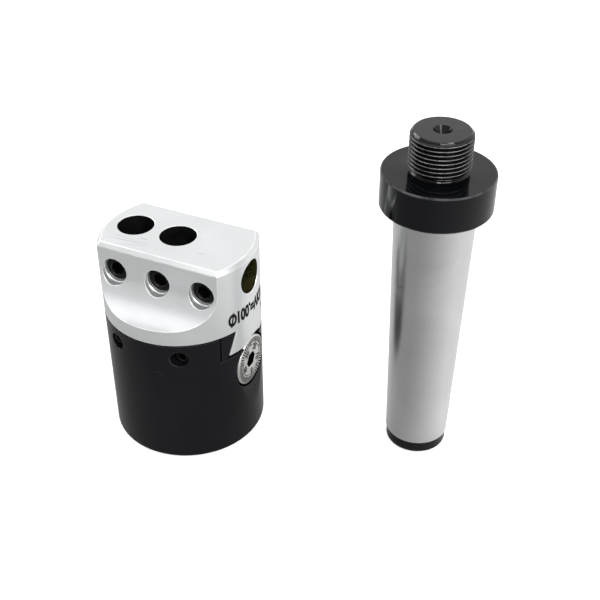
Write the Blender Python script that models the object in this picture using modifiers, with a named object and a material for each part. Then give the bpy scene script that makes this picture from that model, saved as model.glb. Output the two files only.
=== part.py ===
"""A 50 mm boring head and its Morse taper 3 arbor, stood side by side on one surface.

The head stands on the face that meets the arbor, so its bores for boring bars point up.
Its bar holder slides along X on a dovetail, drawn by a feed screw with a graduated dial at +X.
The set is centred on the origin, +Z is up, and every length is in metres.
"""

import math

import bmesh
import bpy
from mathutils import Matrix

MM = 0.001

# Fits. Faceted round pieces need a little more room than flat ones.
ROUND_GAP = 0.3 * MM
FLAT_GAP = 0.2 * MM
PAST = 2.0 * MM  # how far a cutter runs past the face it cuts

# Head: overall
HEAD_R = 25.0 * MM
BODY_H = 46.0 * MM
HOLDER_H = 24.0 * MM
FOOT_CHAMFER = 0.8 * MM
EDGE_BREAK = 0.3 * MM

# Arbor thread, the same on the arbor and in the body
THREAD_R = 9.0 * MM
THREAD_DEPTH = 0.8 * MM
SOCKET_DEPTH = 19.0 * MM
SOCKET_MOUTH = 1.0 * MM

# Bar holder: the part above the slideway
FLAT_Y = 13.8 * MM
BAND_HEIGHT = 5.5 * MM
TOP_CHAMFER = 1.2 * MM
BORE_R = 6.0 * MM
BORE_PITCH = 15.2 * MM
BORE_DEPTH = 26.0 * MM
BORE_CHAMFER = 0.4 * MM
SIDE_BORE_R = 5.5 * MM
SIDE_BORE_DROP = 8.0 * MM
SIDE_BORE_DEPTH = 17.0 * MM

# Screws that clamp the boring bars
BAR_SCREW_R = 4.0 * MM
BAR_SCREW_LENGTH = 6.0 * MM
BAR_SCREW_DROP = 9.0 * MM
BAR_SCREW_KEY = 4.0 * MM

# Dovetail slideway and gib
TAIL_NECK_Y = 8.1 * MM
TAIL_DEPTH = 7.9 * MM
TAIL_ANGLE = math.radians(70)
SLOT_RELIEF = 1.1 * MM
GIB_THICKNESS = 5.9 * MM

# Screws that press on the gib
GIB_SCREW_R = 2.5 * MM
GIB_SCREW_LENGTH = 6.5 * MM
GIB_SCREW_X = 11.0 * MM
GIB_SCREW_DROP = 5.0 * MM
GIB_SCREW_KEY = 2.5 * MM

# Feed screw, dial, nut and retainer
FEED_PITCH = 0.635 * MM
FEED_TURNS_IN = 1
FEED_TURNS_OUT = 20
FEED_SCREW_R = 4.0 * MM
FEED_TAIL_GAP = 7.0 * MM
FEED_KEY = 5.0 * MM
FEED_KEY_DEPTH = 4.0 * MM
DIAL_R = 8.5 * MM
DIAL_INSET = 1.0 * MM
DIAL_BELOW_TAIL = 0.4 * MM
DIAL_THICKNESS = 4.0 * MM
DIAL_CHAMFER = 0.4 * MM
POCKET_GAP = 0.7 * MM
HOLDER_POCKET_GAP = 2.1 * MM
RELIEF_FOOT_Z = 12.0 * MM
RELIEF_SLOPE = 0.09
NECK_R = 2.8 * MM
NECK_LENGTH = 2.0 * MM
JOURNAL_LENGTH = 2.5 * MM
KEY_HALF_WIDTH = 4.5 * MM
NUT_WALL = 2.5 * MM
NUT_X = 5.0 * MM
NUT_FLOOR = 1.5 * MM
NUT_SHANK_R = 3.5 * MM
NUT_SHANK_LENGTH = 4.3 * MM

# Arbor: a Morse taper 3 shank with a drawbar thread
TAPER_LENGTH = 81.0 * MM
TAPER_GAUGE_R = 11.9125 * MM
TAPER_SLOPE = 0.0251
SHANK_LENGTH = 89.0 * MM
BLACK_END = 4.6 * MM
BLACK_END_STEP = 0.2 * MM
FLANGE_R = 16.5 * MM
FLANGE_THICKNESS = 11.1 * MM
STUD_LENGTH = 12.5 * MM
STUD_UNDERCUT = 2.6 * MM
STUD_FILLET = 0.9 * MM
DRAWBAR_R = 5.1 * MM
DRAWBAR_DEPTH = 26.0 * MM
CENTRE_R = 2.7 * MM
CENTRE_PILOT_R = 1.25 * MM
CENTRE_DEPTH = 6.0 * MM

# How the two stand: the arbor's axis from the head's axis
ARBOR_FROM_HEAD_X = 74.9 * MM
ARBOR_FROM_HEAD_Y = 19.9 * MM

# Facets of round shapes
LARGE_STEPS = 64
BORE_STEPS = 32
SCREW_STEPS = 24
ARC_STEPS = 10

# Turns a shape drawn in XY, thick along Z, into one drawn in YZ, thick along X
YZ_OUTLINE = Matrix(((0, 0, 1, 0), (1, 0, 0, 0), (0, 1, 0, 0), (0, 0, 0, 1)))
# The same for one drawn in XZ, thick along Y
XZ_OUTLINE = Matrix(((1, 0, 0, 0), (0, 0, -1, 0), (0, 1, 0, 0), (0, 0, 0, 1)))
ALONG_X = (0.0, math.pi / 2, 0.0)
SOCKET_TO_MINUS_Y = (math.pi / 2, 0.0, 0.0)


def clear_scene():
    for old in list(bpy.data.objects):
        bpy.data.objects.remove(old, do_unlink=True)


def make_collection(name):
    made = bpy.data.collections.new(name)
    bpy.context.scene.collection.children.link(made)
    return made


def make_material(name, colour, roughness, metallic):
    made = bpy.data.materials.new(name)
    made.use_nodes = True
    shader = made.node_tree.nodes["Principled BSDF"]
    shader.inputs["Base Color"].default_value = (*colour, 1.0)
    shader.inputs["Roughness"].default_value = roughness
    shader.inputs["Metallic"].default_value = metallic
    return made


def make_axis(name, x, y):
    """An upright axis that a group of pieces is measured from."""
    axis = bpy.data.objects.new(name, None)
    PARTS.objects.link(axis)
    axis.location = (x, y, 0.0)
    return axis


def place(name, mesh, axis, material=None, location=(0, 0, 0), rotation=(0, 0, 0)):
    """Adds a mesh under an axis. With no material it is a cutter."""
    made = bpy.data.objects.new(name, mesh)
    made.parent = axis
    made.location = location
    made.rotation_euler = rotation
    if material is None:
        CUTTERS.objects.link(made)
        made.hide_render = True
        made.display_type = "WIRE"
    else:
        PARTS.objects.link(made)
        mesh.materials.append(material)
    return made


def cylinder_mesh(name, radius, length, steps):
    """A cylinder along Z, centred on the origin."""
    shape = bmesh.new()
    bmesh.ops.create_cone(
        shape, cap_ends=True, segments=steps, radius1=radius, radius2=radius, depth=length
    )
    mesh = bpy.data.meshes.new(name)
    shape.to_mesh(mesh)
    shape.free()
    return mesh


def box_mesh(name, size):
    shape = bmesh.new()
    bmesh.ops.create_cube(shape, size=1.0, matrix=Matrix.Diagonal((*size, 1.0)))
    mesh = bpy.data.meshes.new(name)
    shape.to_mesh(mesh)
    shape.free()
    return mesh


def prism_mesh(name, outline, thickness, turn):
    """A flat outline with thickness, made from a filled 2D curve and turned into place."""
    curve = bpy.data.curves.new(name, "CURVE")
    curve.dimensions = "2D"
    curve.fill_mode = "BOTH"
    curve.extrude = thickness / 2
    spline = curve.splines.new("POLY")
    spline.points.add(len(outline) - 1)
    for point, (x, y) in zip(spline.points, outline):
        point.co = (x, y, 0.0, 1.0)
    spline.use_cyclic_u = True
    drawn = bpy.data.objects.new(name + "_outline", curve)
    CUTTERS.objects.link(drawn)
    graph = bpy.context.evaluated_depsgraph_get()
    mesh = bpy.data.meshes.new_from_object(drawn.evaluated_get(graph))
    bpy.data.objects.remove(drawn, do_unlink=True)
    shape = bmesh.new()
    shape.from_mesh(mesh)
    bmesh.ops.remove_doubles(shape, verts=shape.verts, dist=0.001 * MM)
    bmesh.ops.transform(shape, matrix=turn, verts=shape.verts)
    bmesh.ops.recalc_face_normals(shape, faces=shape.faces)
    shape.to_mesh(mesh)
    shape.free()
    return mesh


def turned(name, profile, axis, material, steps, location=(0, 0, 0), rotation=(0, 0, 0)):
    """A lathe shape about its own Z: profile points (radius, height) from top to bottom."""
    mesh = bpy.data.meshes.new(name)
    edges = [(i, i + 1) for i in range(len(profile) - 1)]
    mesh.from_pydata([(r, 0.0, z) for r, z in profile], edges, [])
    made = place(name, mesh, axis, material, location, rotation)
    screw = made.modifiers.new("turn", "SCREW")
    screw.axis = "Z"
    screw.steps = steps
    screw.render_steps = steps
    screw.use_merge_vertices = True
    screw.merge_threshold = 0.01 * MM
    return made


def boolean(piece, tool, operation="DIFFERENCE"):
    step = piece.modifiers.new(tool.name, "BOOLEAN")
    step.operation = operation
    step.object = tool


def arc(centre_x, centre_y, radius, start, end):
    """Points along an arc, both ends included; angles in radians."""
    angles = [start + (end - start) * i / ARC_STEPS for i in range(ARC_STEPS + 1)]
    return [(centre_x + radius * math.cos(a), centre_y + radius * math.sin(a)) for a in angles]


def bore_cutter(name, axis, radius, depth, centre, rotation, chamfer, steps):
    """A blind hole whose mouth is at centre. The hole runs down the cutter's own Z."""
    profile = [
        (0.0, PAST),
        (radius + chamfer + PAST, PAST),
        (radius, -chamfer),
        (radius, -depth),
        (0.0, -depth),
    ]
    return turned(name, profile, axis, None, steps, centre, rotation)


def tail_half_width(z):
    """Half the width of the bar holder's dovetail at height z."""
    return TAIL_NECK_Y + (BODY_H - z) / math.tan(TAIL_ANGLE)


def set_screw(name, radius, length, key, axis, material, centre):
    """A socket set screw on an axis along Y, its hexagon socket at the -Y end, at centre."""
    chamfer = 0.12 * length
    profile = [
        (0.0, 0.0),
        (radius - chamfer, 0.0),
        (radius, -chamfer),
        (radius, chamfer - length),
        (radius - chamfer, -length),
        (0.0, -length),
    ]
    screw = turned(name, profile, axis, material, SCREW_STEPS, centre, SOCKET_TO_MINUS_Y)
    depth = 0.45 * length
    socket = cylinder_mesh(name + "_socket", key / math.sqrt(3), depth + PAST, 6)
    middle = (centre[0], centre[1] + (depth - PAST) / 2, centre[2])
    boolean(screw, place(name + "_socket", socket, axis, None, middle, SOCKET_TO_MINUS_Y))
    return screw


def make_body(axis):
    """The black body: turned blank, thread socket below, dovetail slot above."""
    profile = [
        (0.0, BODY_H),
        (HEAD_R - EDGE_BREAK, BODY_H),
        (HEAD_R, BODY_H - EDGE_BREAK),
        (HEAD_R, FOOT_CHAMFER),
        (HEAD_R - FOOT_CHAMFER, 0.0),
        (THREAD_R + SOCKET_MOUTH, 0.0),
        (THREAD_R - THREAD_DEPTH, THREAD_DEPTH + SOCKET_MOUTH),
        (THREAD_R - THREAD_DEPTH, SOCKET_DEPTH),
        (0.0, SOCKET_DEPTH),
    ]
    body = turned("body", profile, axis, BLACK_STEEL, LARGE_STEPS)
    boolean(body, dovetail_slot(axis))
    boolean(body, nut_slot(axis))
    boolean(body, feed_bore(axis))
    boolean(body, dial_pocket("body_dial_pocket", axis, POCKET_R))
    boolean(body, key_slot(axis))
    boolean(body, dial_relief(axis))
    for side, x in GIB_SCREWS.items():
        boolean(body, gib_screw_hole(side, axis, x))
    return body


def dovetail_slot(axis):
    """Open on top: one sloping wall that the tail bears on, one upright wall behind the gib."""
    floor = BODY_H - SLOT_DEPTH
    gap = FLAT_GAP / math.sin(TAIL_ANGLE)
    outline = [
        (-GIB_WALL_Y, floor),
        (tail_half_width(floor) + gap, floor),
        (tail_half_width(BODY_H) + gap, BODY_H),
        (tail_half_width(BODY_H) + gap, BODY_H + PAST),
        (-GIB_WALL_Y, BODY_H + PAST),
    ]
    mesh = prism_mesh("slot", outline, 2 * (HEAD_R + PAST), YZ_OUTLINE)
    return place("slot", mesh, axis)


def nut_slot(axis):
    """The long round-ended well that the feed nut travels in."""
    radius = NUT_R + ROUND_GAP
    x_in = NUT_X + FEED_PITCH * FEED_TURNS_IN
    x_out = NUT_X - FEED_PITCH * FEED_TURNS_OUT
    outline = arc(x_in, 0.0, radius, -math.pi / 2, math.pi / 2)
    outline += arc(x_out, 0.0, radius, math.pi / 2, 3 * math.pi / 2)
    bottom = NUT_BOTTOM - ROUND_GAP
    top = BODY_H - SLOT_DEPTH + PAST
    mesh = prism_mesh("nut_slot", outline, top - bottom, Matrix.Identity(4))
    return place("nut_slot", mesh, axis, None, (0, 0, (top + bottom) / 2))


def feed_bore(axis):
    """The bore along X that carries the feed screw, blind at -X."""
    start = FEED_TAIL_X - PAST
    end = DIAL_FACE_X - DIAL_THICKNESS
    mesh = cylinder_mesh("feed_bore", FEED_SCREW_R + ROUND_GAP, end - start, BORE_STEPS)
    return place("feed_bore", mesh, axis, None, ((start + end) / 2, 0, FEED_Z), ALONG_X)


def dial_pocket(name, axis, radius):
    """The counterbore that the dial sits in, open at the cylinder."""
    start = DIAL_FACE_X - DIAL_THICKNESS - FLAT_GAP
    end = HEAD_R + PAST
    mesh = cylinder_mesh(name, radius, end - start, 2 * BORE_STEPS)
    return place(name, mesh, axis, None, ((start + end) / 2, 0, FEED_Z), ALONG_X)


def key_slot(axis):
    """The upright slot that the retainer key drops into, across the feed screw's neck."""
    height = BODY_H - SLOT_DEPTH + PAST - KEY_BOTTOM + FLAT_GAP
    size = (NECK_LENGTH, 2 * (KEY_HALF_WIDTH + FLAT_GAP), height)
    mesh = box_mesh("key_slot", size)
    z = KEY_BOTTOM - FLAT_GAP + height / 2
    return place("key_slot", mesh, axis, None, (NECK_X, 0, z))


def dial_relief(axis):
    """A shallow sloping flat below the dial, so that its graduations can be read."""
    outline = [
        (HEAD_R + PAST, RELIEF_FOOT_Z - PAST),
        (HEAD_R + RELIEF_SLOPE * PAST, RELIEF_FOOT_Z - PAST),
        (HEAD_R - RELIEF_SLOPE * (FEED_Z - RELIEF_FOOT_Z), FEED_Z),
        (HEAD_R + PAST, FEED_Z),
    ]
    mesh = prism_mesh("dial_relief", outline, 2 * HEAD_R, XZ_OUTLINE)
    return place("dial_relief", mesh, axis)


def gib_screw_hole(side, axis, x):
    """A threaded hole along Y, from the cylinder into the gib's side of the slot."""
    name = "gib_screw_hole_" + side
    radius = GIB_SCREW_R + ROUND_GAP
    length = HEAD_R + PAST - GIB_WALL_Y + PAST
    mesh = cylinder_mesh(name, radius, length, SCREW_STEPS)
    y = -(GIB_WALL_Y - PAST + length / 2)
    return place(name, mesh, axis, None, (x, y, GIB_SCREW_Z), SOCKET_TO_MINUS_Y)


def make_bar_holder(axis):
    """The bright bar holder: one turned blank, milled to two flats and a dovetail."""
    profile = [
        (0.0, HEAD_H),
        (HEAD_R - TOP_CHAMFER, HEAD_H),
        (HEAD_R, HEAD_H - TOP_CHAMFER),
        (HEAD_R, BODY_H - TAIL_DEPTH),
        (0.0, BODY_H - TAIL_DEPTH),
    ]
    holder = turned("bar_holder", profile, axis, BRIGHT_STEEL, LARGE_STEPS)
    for side in (-1, 1):
        boolean(holder, flat_cutter(axis, side))
        boolean(holder, tail_cutter(axis, side))
    boolean(holder, dial_pocket("holder_dial_pocket", axis, HOLDER_POCKET_R))
    for side, x in BAR_BORES.items():
        mouth = (x, 0, HEAD_H)
        bore = bore_cutter(
            "bore_" + side, axis, BORE_R, BORE_DEPTH, mouth, (0, 0, 0), BORE_CHAMFER, BORE_STEPS
        )
        boolean(holder, bore)
    boolean(holder, side_bore(axis))
    for side, x in BAR_SCREWS.items():
        boolean(holder, bar_screw_hole(side, axis, x))
    boolean(holder, nut_shank_hole(axis))
    return holder


def flat_cutter(axis, side):
    """Everything outside one flat: chamfer, flat, and the cove that runs out at the ledge."""
    cove_r = HEAD_R - FLAT_Y
    outline = [(FLAT_Y - TOP_CHAMFER - PAST, HEAD_H + PAST), (FLAT_Y, HEAD_H - TOP_CHAMFER)]
    outline += arc(HEAD_R, LEDGE_Z + cove_r, cove_r, math.pi, 1.5 * math.pi)
    outline += [(HEAD_R + PAST, LEDGE_Z), (HEAD_R + PAST, HEAD_H + PAST)]
    name = "front_flat" if side < 0 else "back_flat"
    outline = [(side * y, z) for y, z in outline]
    mesh = prism_mesh(name, outline, 2 * (HEAD_R + PAST), YZ_OUTLINE)
    return place(name, mesh, axis)


def tail_cutter(axis, side):
    """Everything beside the dovetail, below the slideway."""
    top = BODY_H + ROUND_GAP
    bottom = BODY_H - TAIL_DEPTH - PAST
    outline = [
        (tail_half_width(top), top),
        (HEAD_R + PAST, top),
        (HEAD_R + PAST, bottom),
        (tail_half_width(bottom), bottom),
    ]
    name = "tail_front" if side < 0 else "tail_back"
    outline = [(side * y, z) for y, z in outline]
    mesh = prism_mesh(name, outline, 2 * (HEAD_R + PAST), YZ_OUTLINE)
    return place(name, mesh, axis)


def side_bore(axis):
    """The bore at the +X end for a bar that lies across the head."""
    length = SIDE_BORE_DEPTH + PAST
    mesh = cylinder_mesh("side_bore", SIDE_BORE_R, length, BORE_STEPS)
    x = HEAD_R + PAST - length / 2
    return place("side_bore", mesh, axis, None, (x, 0, SIDE_BORE_Z), ALONG_X)


def bar_screw_hole(side, axis, x):
    """A threaded hole along Y, from the front flat through to the bore behind it."""
    name = "bar_screw_hole_" + side
    length = HEAD_R + PAST
    mesh = cylinder_mesh(name, BAR_SCREW_R + ROUND_GAP, length, SCREW_STEPS)
    return place(name, mesh, axis, None, (x, -length / 2, BAR_SCREW_Z), SOCKET_TO_MINUS_Y)


def nut_shank_hole(axis):
    """The blind hole under the dovetail that takes the feed nut's shank."""
    depth = NUT_SHANK_LENGTH + ROUND_GAP
    mesh = cylinder_mesh("nut_shank_hole", NUT_SHANK_R + ROUND_GAP, depth + PAST, SCREW_STEPS)
    z = BODY_H - TAIL_DEPTH + (depth - PAST) / 2
    return place("nut_shank_hole", mesh, axis, None, (NUT_X, 0, z))


def make_gib(axis):
    """The wedge strip between the dovetail's front flank and the upright wall."""
    top = BODY_H - FLAT_GAP
    bottom = BODY_H - SLOT_DEPTH + FLAT_GAP
    gap = FLAT_GAP / math.sin(TAIL_ANGLE)
    outer = -(GIB_WALL_Y - FLAT_GAP)
    outline = [
        (outer, bottom),
        (-(tail_half_width(bottom) + gap), bottom),
        (-(tail_half_width(top) + gap), top),
        (outer, top),
    ]
    mesh = prism_mesh("gib", outline, 2 * (HEAD_R + PAST), YZ_OUTLINE)
    gib = place("gib", mesh, axis, BLACK_STEEL)
    trim = cylinder_mesh("gib_trim", HEAD_R - FLAT_GAP, HEAD_H, LARGE_STEPS)
    boolean(gib, place("gib_trim", trim, axis, None, (0, 0, HEAD_H / 2)), "INTERSECT")
    return gib


def make_feed_screw(axis):
    """Dial, journal, neck and feed thread in one piece, turned about an axis along X."""
    back = -DIAL_THICKNESS
    neck_top = back - JOURNAL_LENGTH
    neck_bottom = neck_top - NECK_LENGTH
    tail = FEED_TAIL_X - DIAL_FACE_X
    profile = [
        (0.0, 0.0),
        (DIAL_R - DIAL_CHAMFER, 0.0),
        (DIAL_R, -DIAL_CHAMFER),
        (DIAL_R, back),
        (FEED_SCREW_R, back),
        (FEED_SCREW_R, neck_top),
        (NECK_R, neck_top),
        (NECK_R, neck_bottom),
        (FEED_SCREW_R, neck_bottom),
        (FEED_SCREW_R, tail + DIAL_CHAMFER),
        (FEED_SCREW_R - DIAL_CHAMFER, tail),
        (0.0, tail),
    ]
    face = (DIAL_FACE_X, 0, FEED_Z)
    screw = turned("feed_screw", profile, axis, DIAL_STEEL, 2 * SCREW_STEPS, face, ALONG_X)
    length = FEED_KEY_DEPTH + PAST
    socket = cylinder_mesh("feed_screw_socket", FEED_KEY / math.sqrt(3), length, 6)
    middle = (DIAL_FACE_X + PAST - length / 2, 0, FEED_Z)
    boolean(screw, place("feed_screw_socket", socket, axis, None, middle, ALONG_X))
    return screw


def make_retainer_key(axis):
    """The horseshoe plate that drops over the feed screw's neck and holds it endways."""
    inner = NECK_R + ROUND_GAP
    top = BODY_H - SLOT_DEPTH - FLAT_GAP
    outline = [(-KEY_HALF_WIDTH, KEY_BOTTOM), (-inner, KEY_BOTTOM)]
    outline += arc(0.0, FEED_Z, inner, math.pi, 0.0)
    outline += [(inner, KEY_BOTTOM), (KEY_HALF_WIDTH, KEY_BOTTOM)]
    outline += [(KEY_HALF_WIDTH, top), (-KEY_HALF_WIDTH, top)]
    thickness = NECK_LENGTH - 2 * FLAT_GAP
    mesh = prism_mesh("retainer_key", outline, thickness, YZ_OUTLINE)
    return place("retainer_key", mesh, axis, BRIGHT_STEEL, (NECK_X, 0, 0))


def make_feed_nut(axis):
    """The brass nut that hangs from the bar holder and rides on the feed screw."""
    shoulder = BODY_H - TAIL_DEPTH - ROUND_GAP
    profile = [
        (0.0, shoulder + NUT_SHANK_LENGTH),
        (NUT_SHANK_R, shoulder + NUT_SHANK_LENGTH),
        (NUT_SHANK_R, shoulder),
        (NUT_R, shoulder),
        (NUT_R, NUT_BOTTOM),
        (0.0, NUT_BOTTOM),
    ]
    nut = turned("feed_nut", profile, axis, BRASS, BORE_STEPS, (NUT_X, 0, 0))
    hole = cylinder_mesh("nut_thread", FEED_SCREW_R + ROUND_GAP, 2 * (NUT_R + PAST), BORE_STEPS)
    boolean(nut, place("nut_thread", hole, axis, None, (NUT_X, 0, FEED_Z), ALONG_X))
    return nut


def make_arbor(axis):
    """The arbor on its small end: drawbar thread, taper, flange and threaded stud."""
    small_r = TAPER_GAUGE_R - TAPER_LENGTH * TAPER_SLOPE
    black_r = small_r - BLACK_END_STEP
    flange_top = SHANK_LENGTH + FLANGE_THICKNESS
    top = flange_top + STUD_LENGTH
    root_r = THREAD_R - THREAD_DEPTH - ROUND_GAP
    flange_break = 0.6 * MM
    profile = [
        (0.0, top - CENTRE_DEPTH),
        (CENTRE_PILOT_R, top - CENTRE_DEPTH + CENTRE_PILOT_R),
        (CENTRE_PILOT_R, top - (CENTRE_R - CENTRE_PILOT_R) * math.sqrt(3)),
        (CENTRE_R, top),
        (THREAD_R - THREAD_DEPTH, top),
        (THREAD_R, top - THREAD_DEPTH),
        (THREAD_R, flange_top + STUD_UNDERCUT),
        (root_r, flange_top + STUD_UNDERCUT - THREAD_DEPTH),
        (root_r, flange_top + STUD_FILLET),
        (THREAD_R + FLAT_GAP, flange_top),
        (FLANGE_R - flange_break, flange_top),
        (FLANGE_R, flange_top - flange_break),
        (FLANGE_R, SHANK_LENGTH + flange_break),
        (FLANGE_R - flange_break, SHANK_LENGTH),
        (small_r + TAPER_SLOPE * SHANK_LENGTH, SHANK_LENGTH),
        (small_r + TAPER_SLOPE * BLACK_END, BLACK_END),
        (black_r, BLACK_END - BLACK_END_STEP),
        (black_r, FOOT_CHAMFER),
        (black_r - FOOT_CHAMFER, 0.0),
        (DRAWBAR_R + FOOT_CHAMFER, 0.0),
        (DRAWBAR_R, FOOT_CHAMFER),
        (DRAWBAR_R, DRAWBAR_DEPTH),
        (0.0, DRAWBAR_DEPTH + DRAWBAR_R / math.sqrt(3)),
    ]
    return turned("arbor", profile, axis, GROUND_STEEL, LARGE_STEPS)


# Sizes and places that follow from the sizes above
HEAD_H = BODY_H + HOLDER_H
LEDGE_Z = BODY_H + BAND_HEIGHT
SIDE_BORE_Z = HEAD_H - SIDE_BORE_DROP
BAR_SCREW_Z = HEAD_H - BAR_SCREW_DROP
BAR_SCREW_FACE_Y = BORE_R + ROUND_GAP + BAR_SCREW_LENGTH
SLOT_DEPTH = TAIL_DEPTH + SLOT_RELIEF
GIB_WALL_Y = TAIL_NECK_Y + GIB_THICKNESS
GIB_SCREW_Z = BODY_H - GIB_SCREW_DROP
GIB_SCREW_FACE_Y = GIB_WALL_Y + FLAT_GAP + GIB_SCREW_LENGTH
POCKET_R = DIAL_R + POCKET_GAP
HOLDER_POCKET_R = DIAL_R + HOLDER_POCKET_GAP
NUT_R = FEED_SCREW_R + NUT_WALL
FEED_Z = BODY_H - TAIL_DEPTH - DIAL_BELOW_TAIL - DIAL_R
FEED_TAIL_X = FEED_TAIL_GAP - HEAD_R
DIAL_FACE_X = HEAD_R - DIAL_INSET
NECK_X = DIAL_FACE_X - DIAL_THICKNESS - JOURNAL_LENGTH - NECK_LENGTH / 2
KEY_BOTTOM = FEED_Z - FEED_SCREW_R
NUT_BOTTOM = FEED_Z - FEED_SCREW_R - NUT_FLOOR
GIB_SCREWS = {"left": -GIB_SCREW_X, "right": GIB_SCREW_X}
BAR_BORES = {"outer": -BORE_PITCH, "centre": 0.0}
BAR_SCREWS = {"left": -BORE_PITCH, "middle": 0.0, "right": BORE_PITCH}
SPAN_X = HEAD_R + ARBOR_FROM_HEAD_X + FLANGE_R
SPAN_Y = HEAD_R + max(HEAD_R, ARBOR_FROM_HEAD_Y + FLANGE_R)
HEAD_X = HEAD_R - SPAN_X / 2
HEAD_Y = HEAD_R - SPAN_Y / 2

clear_scene()
PARTS = make_collection("boring_head_set")
CUTTERS = make_collection("cutters")
BLACK_STEEL = make_material("black_steel", (0.012, 0.012, 0.014), 0.35, 0.6)
BRIGHT_STEEL = make_material("bright_steel", (0.72, 0.73, 0.74), 0.28, 1.0)
GROUND_STEEL = make_material("ground_steel", (0.62, 0.62, 0.63), 0.3, 1.0)
DIAL_STEEL = make_material("dial_steel", (0.70, 0.71, 0.70), 0.35, 1.0)
BRASS = make_material("brass", (0.72, 0.52, 0.22), 0.35, 1.0)

head_axis = make_axis("head_axis", HEAD_X, HEAD_Y)
arbor_axis = make_axis(
    "arbor_axis", HEAD_X + ARBOR_FROM_HEAD_X, HEAD_Y + ARBOR_FROM_HEAD_Y
)
make_body(head_axis)
make_bar_holder(head_axis)
make_gib(head_axis)
make_feed_screw(head_axis)
make_retainer_key(head_axis)
make_feed_nut(head_axis)
for screw_side, screw_x in BAR_SCREWS.items():
    set_screw(
        "bar_screw_" + screw_side,
        BAR_SCREW_R,
        BAR_SCREW_LENGTH,
        BAR_SCREW_KEY,
        head_axis,
        BLACK_STEEL,
        (screw_x, -BAR_SCREW_FACE_Y, BAR_SCREW_Z),
    )
for screw_side, screw_x in GIB_SCREWS.items():
    set_screw(
        "gib_screw_" + screw_side,
        GIB_SCREW_R,
        GIB_SCREW_LENGTH,
        GIB_SCREW_KEY,
        head_axis,
        BLACK_STEEL,
        (screw_x, -GIB_SCREW_FACE_Y, GIB_SCREW_Z),
    )
make_arbor(arbor_axis)
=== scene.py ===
# %% [markdown]
# # A boring head and its arbor
# A boring head is a small slide for a milling machine: a black body screws onto the arbor, and
# a bright holder for the boring bar creeps across it on a dovetail as a graduated dial is
# turned. Here the two stand apart on one surface, as a maker lays them out before fitting.
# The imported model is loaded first. Its boxes give every place below, so nothing is fitted by eye.

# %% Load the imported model
import math

import bmesh
import bpy
from mathutils import Matrix, Vector


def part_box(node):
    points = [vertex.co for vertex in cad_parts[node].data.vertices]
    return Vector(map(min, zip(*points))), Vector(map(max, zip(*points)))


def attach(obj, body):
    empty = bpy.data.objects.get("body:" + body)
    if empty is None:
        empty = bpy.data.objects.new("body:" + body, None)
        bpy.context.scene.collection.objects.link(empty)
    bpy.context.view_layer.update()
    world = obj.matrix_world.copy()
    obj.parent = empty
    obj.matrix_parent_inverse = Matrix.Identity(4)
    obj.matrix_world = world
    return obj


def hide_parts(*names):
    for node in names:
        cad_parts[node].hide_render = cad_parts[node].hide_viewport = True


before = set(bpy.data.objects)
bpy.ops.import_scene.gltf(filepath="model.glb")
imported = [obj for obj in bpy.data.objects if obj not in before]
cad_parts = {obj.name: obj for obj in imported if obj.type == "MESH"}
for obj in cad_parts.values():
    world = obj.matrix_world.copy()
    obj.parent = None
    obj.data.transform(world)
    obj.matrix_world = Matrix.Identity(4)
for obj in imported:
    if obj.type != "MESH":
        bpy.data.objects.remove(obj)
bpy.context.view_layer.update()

MM = 0.001
SCENE = bpy.context.scene

# %% [markdown]
# ## Where things are
# A turned part is best drawn about its own axis and moved once, at the end. So the two axes are
# read from the boxes of the body and the arbor, and all sizes after this are local to an axis.

# %% Axes and main sizes, read from the model
body_low, body_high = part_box("body")
holder_low, holder_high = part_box("bar_holder")
dial_low, dial_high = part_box("feed_screw")
arbor_low, arbor_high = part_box("arbor")

HEAD_AXIS = Vector(((body_low.x + body_high.x) / 2, (body_low.y + body_high.y) / 2, 0.0))
ARBOR_AXIS = Vector(((arbor_low.x + arbor_high.x) / 2, (arbor_low.y + arbor_high.y) / 2, 0.0))
HEAD_R = (body_high.y - body_low.y) / 2
BODY_H = body_high.z
HEAD_H = holder_high.z
TAIL_Z = holder_low.z
DIAL_R = (dial_high.z - dial_low.z) / 2
FEED_Z = (dial_high.z + dial_low.z) / 2
DIAL_FACE_X = dial_high.x - HEAD_AXIS.x
FEED_TAIL_X = dial_low.x - HEAD_AXIS.x
FLANGE_R = (arbor_high.x - arbor_low.x) / 2
ARBOR_H = arbor_high.z
print("head radius", round(HEAD_R / MM, 2), "height", round(HEAD_H / MM, 2),
      "arbor height", round(ARBOR_H / MM, 2))

# %% [markdown]
# ## Camera
# The view looks down on the pair from the front right. A long lens keeps the cylinders upright.

# %% Camera
CAMERA_PLACE = (0.11228, -0.23459, 0.23993)
CAMERA_PITCH = math.radians(90 - 35.88)
CAMERA_YAW = math.radians(24.73)
CAMERA_LENS = 61.92
CAMERA_SENSOR = 36
CAMERA_SHIFT = 0.006

camera_data = bpy.data.cameras.new("camera")
camera_data.lens = CAMERA_LENS
camera_data.sensor_width = CAMERA_SENSOR
camera_data.shift_x = CAMERA_SHIFT
camera_data.clip_start = 0.01
camera = bpy.data.objects.new("camera", camera_data)
camera.location = CAMERA_PLACE
camera.rotation_euler = (CAMERA_PITCH, 0, CAMERA_YAW)
SCENE.collection.objects.link(camera)
SCENE.camera = camera
print("camera at", CAMERA_PLACE)

# %% [markdown]
# ## Node helpers
# Shader trees and Geometry Nodes trees are wired the same way, so one helper adds a node, sets
# what is a plain value and links what is a socket. The others are built on it: arithmetic on
# numbers and on vectors, noise, a mix of two numbers or colours, a new group with its named
# inputs and outputs, and the last two nodes that every Geometry Nodes tree here ends in.

# %% Node helpers
def add(tree, kind, inputs=None, **settings):
    """Adds a node. Each input is either a value to set or a socket to link from."""
    made = tree.nodes.new(kind)
    for key, value in settings.items():
        setattr(made, key, value)
    for key, value in (inputs or {}).items():
        if isinstance(value, bpy.types.NodeSocket):
            tree.links.new(value, made.inputs[key])
        else:
            made.inputs[key].default_value = value
    return made


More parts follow.
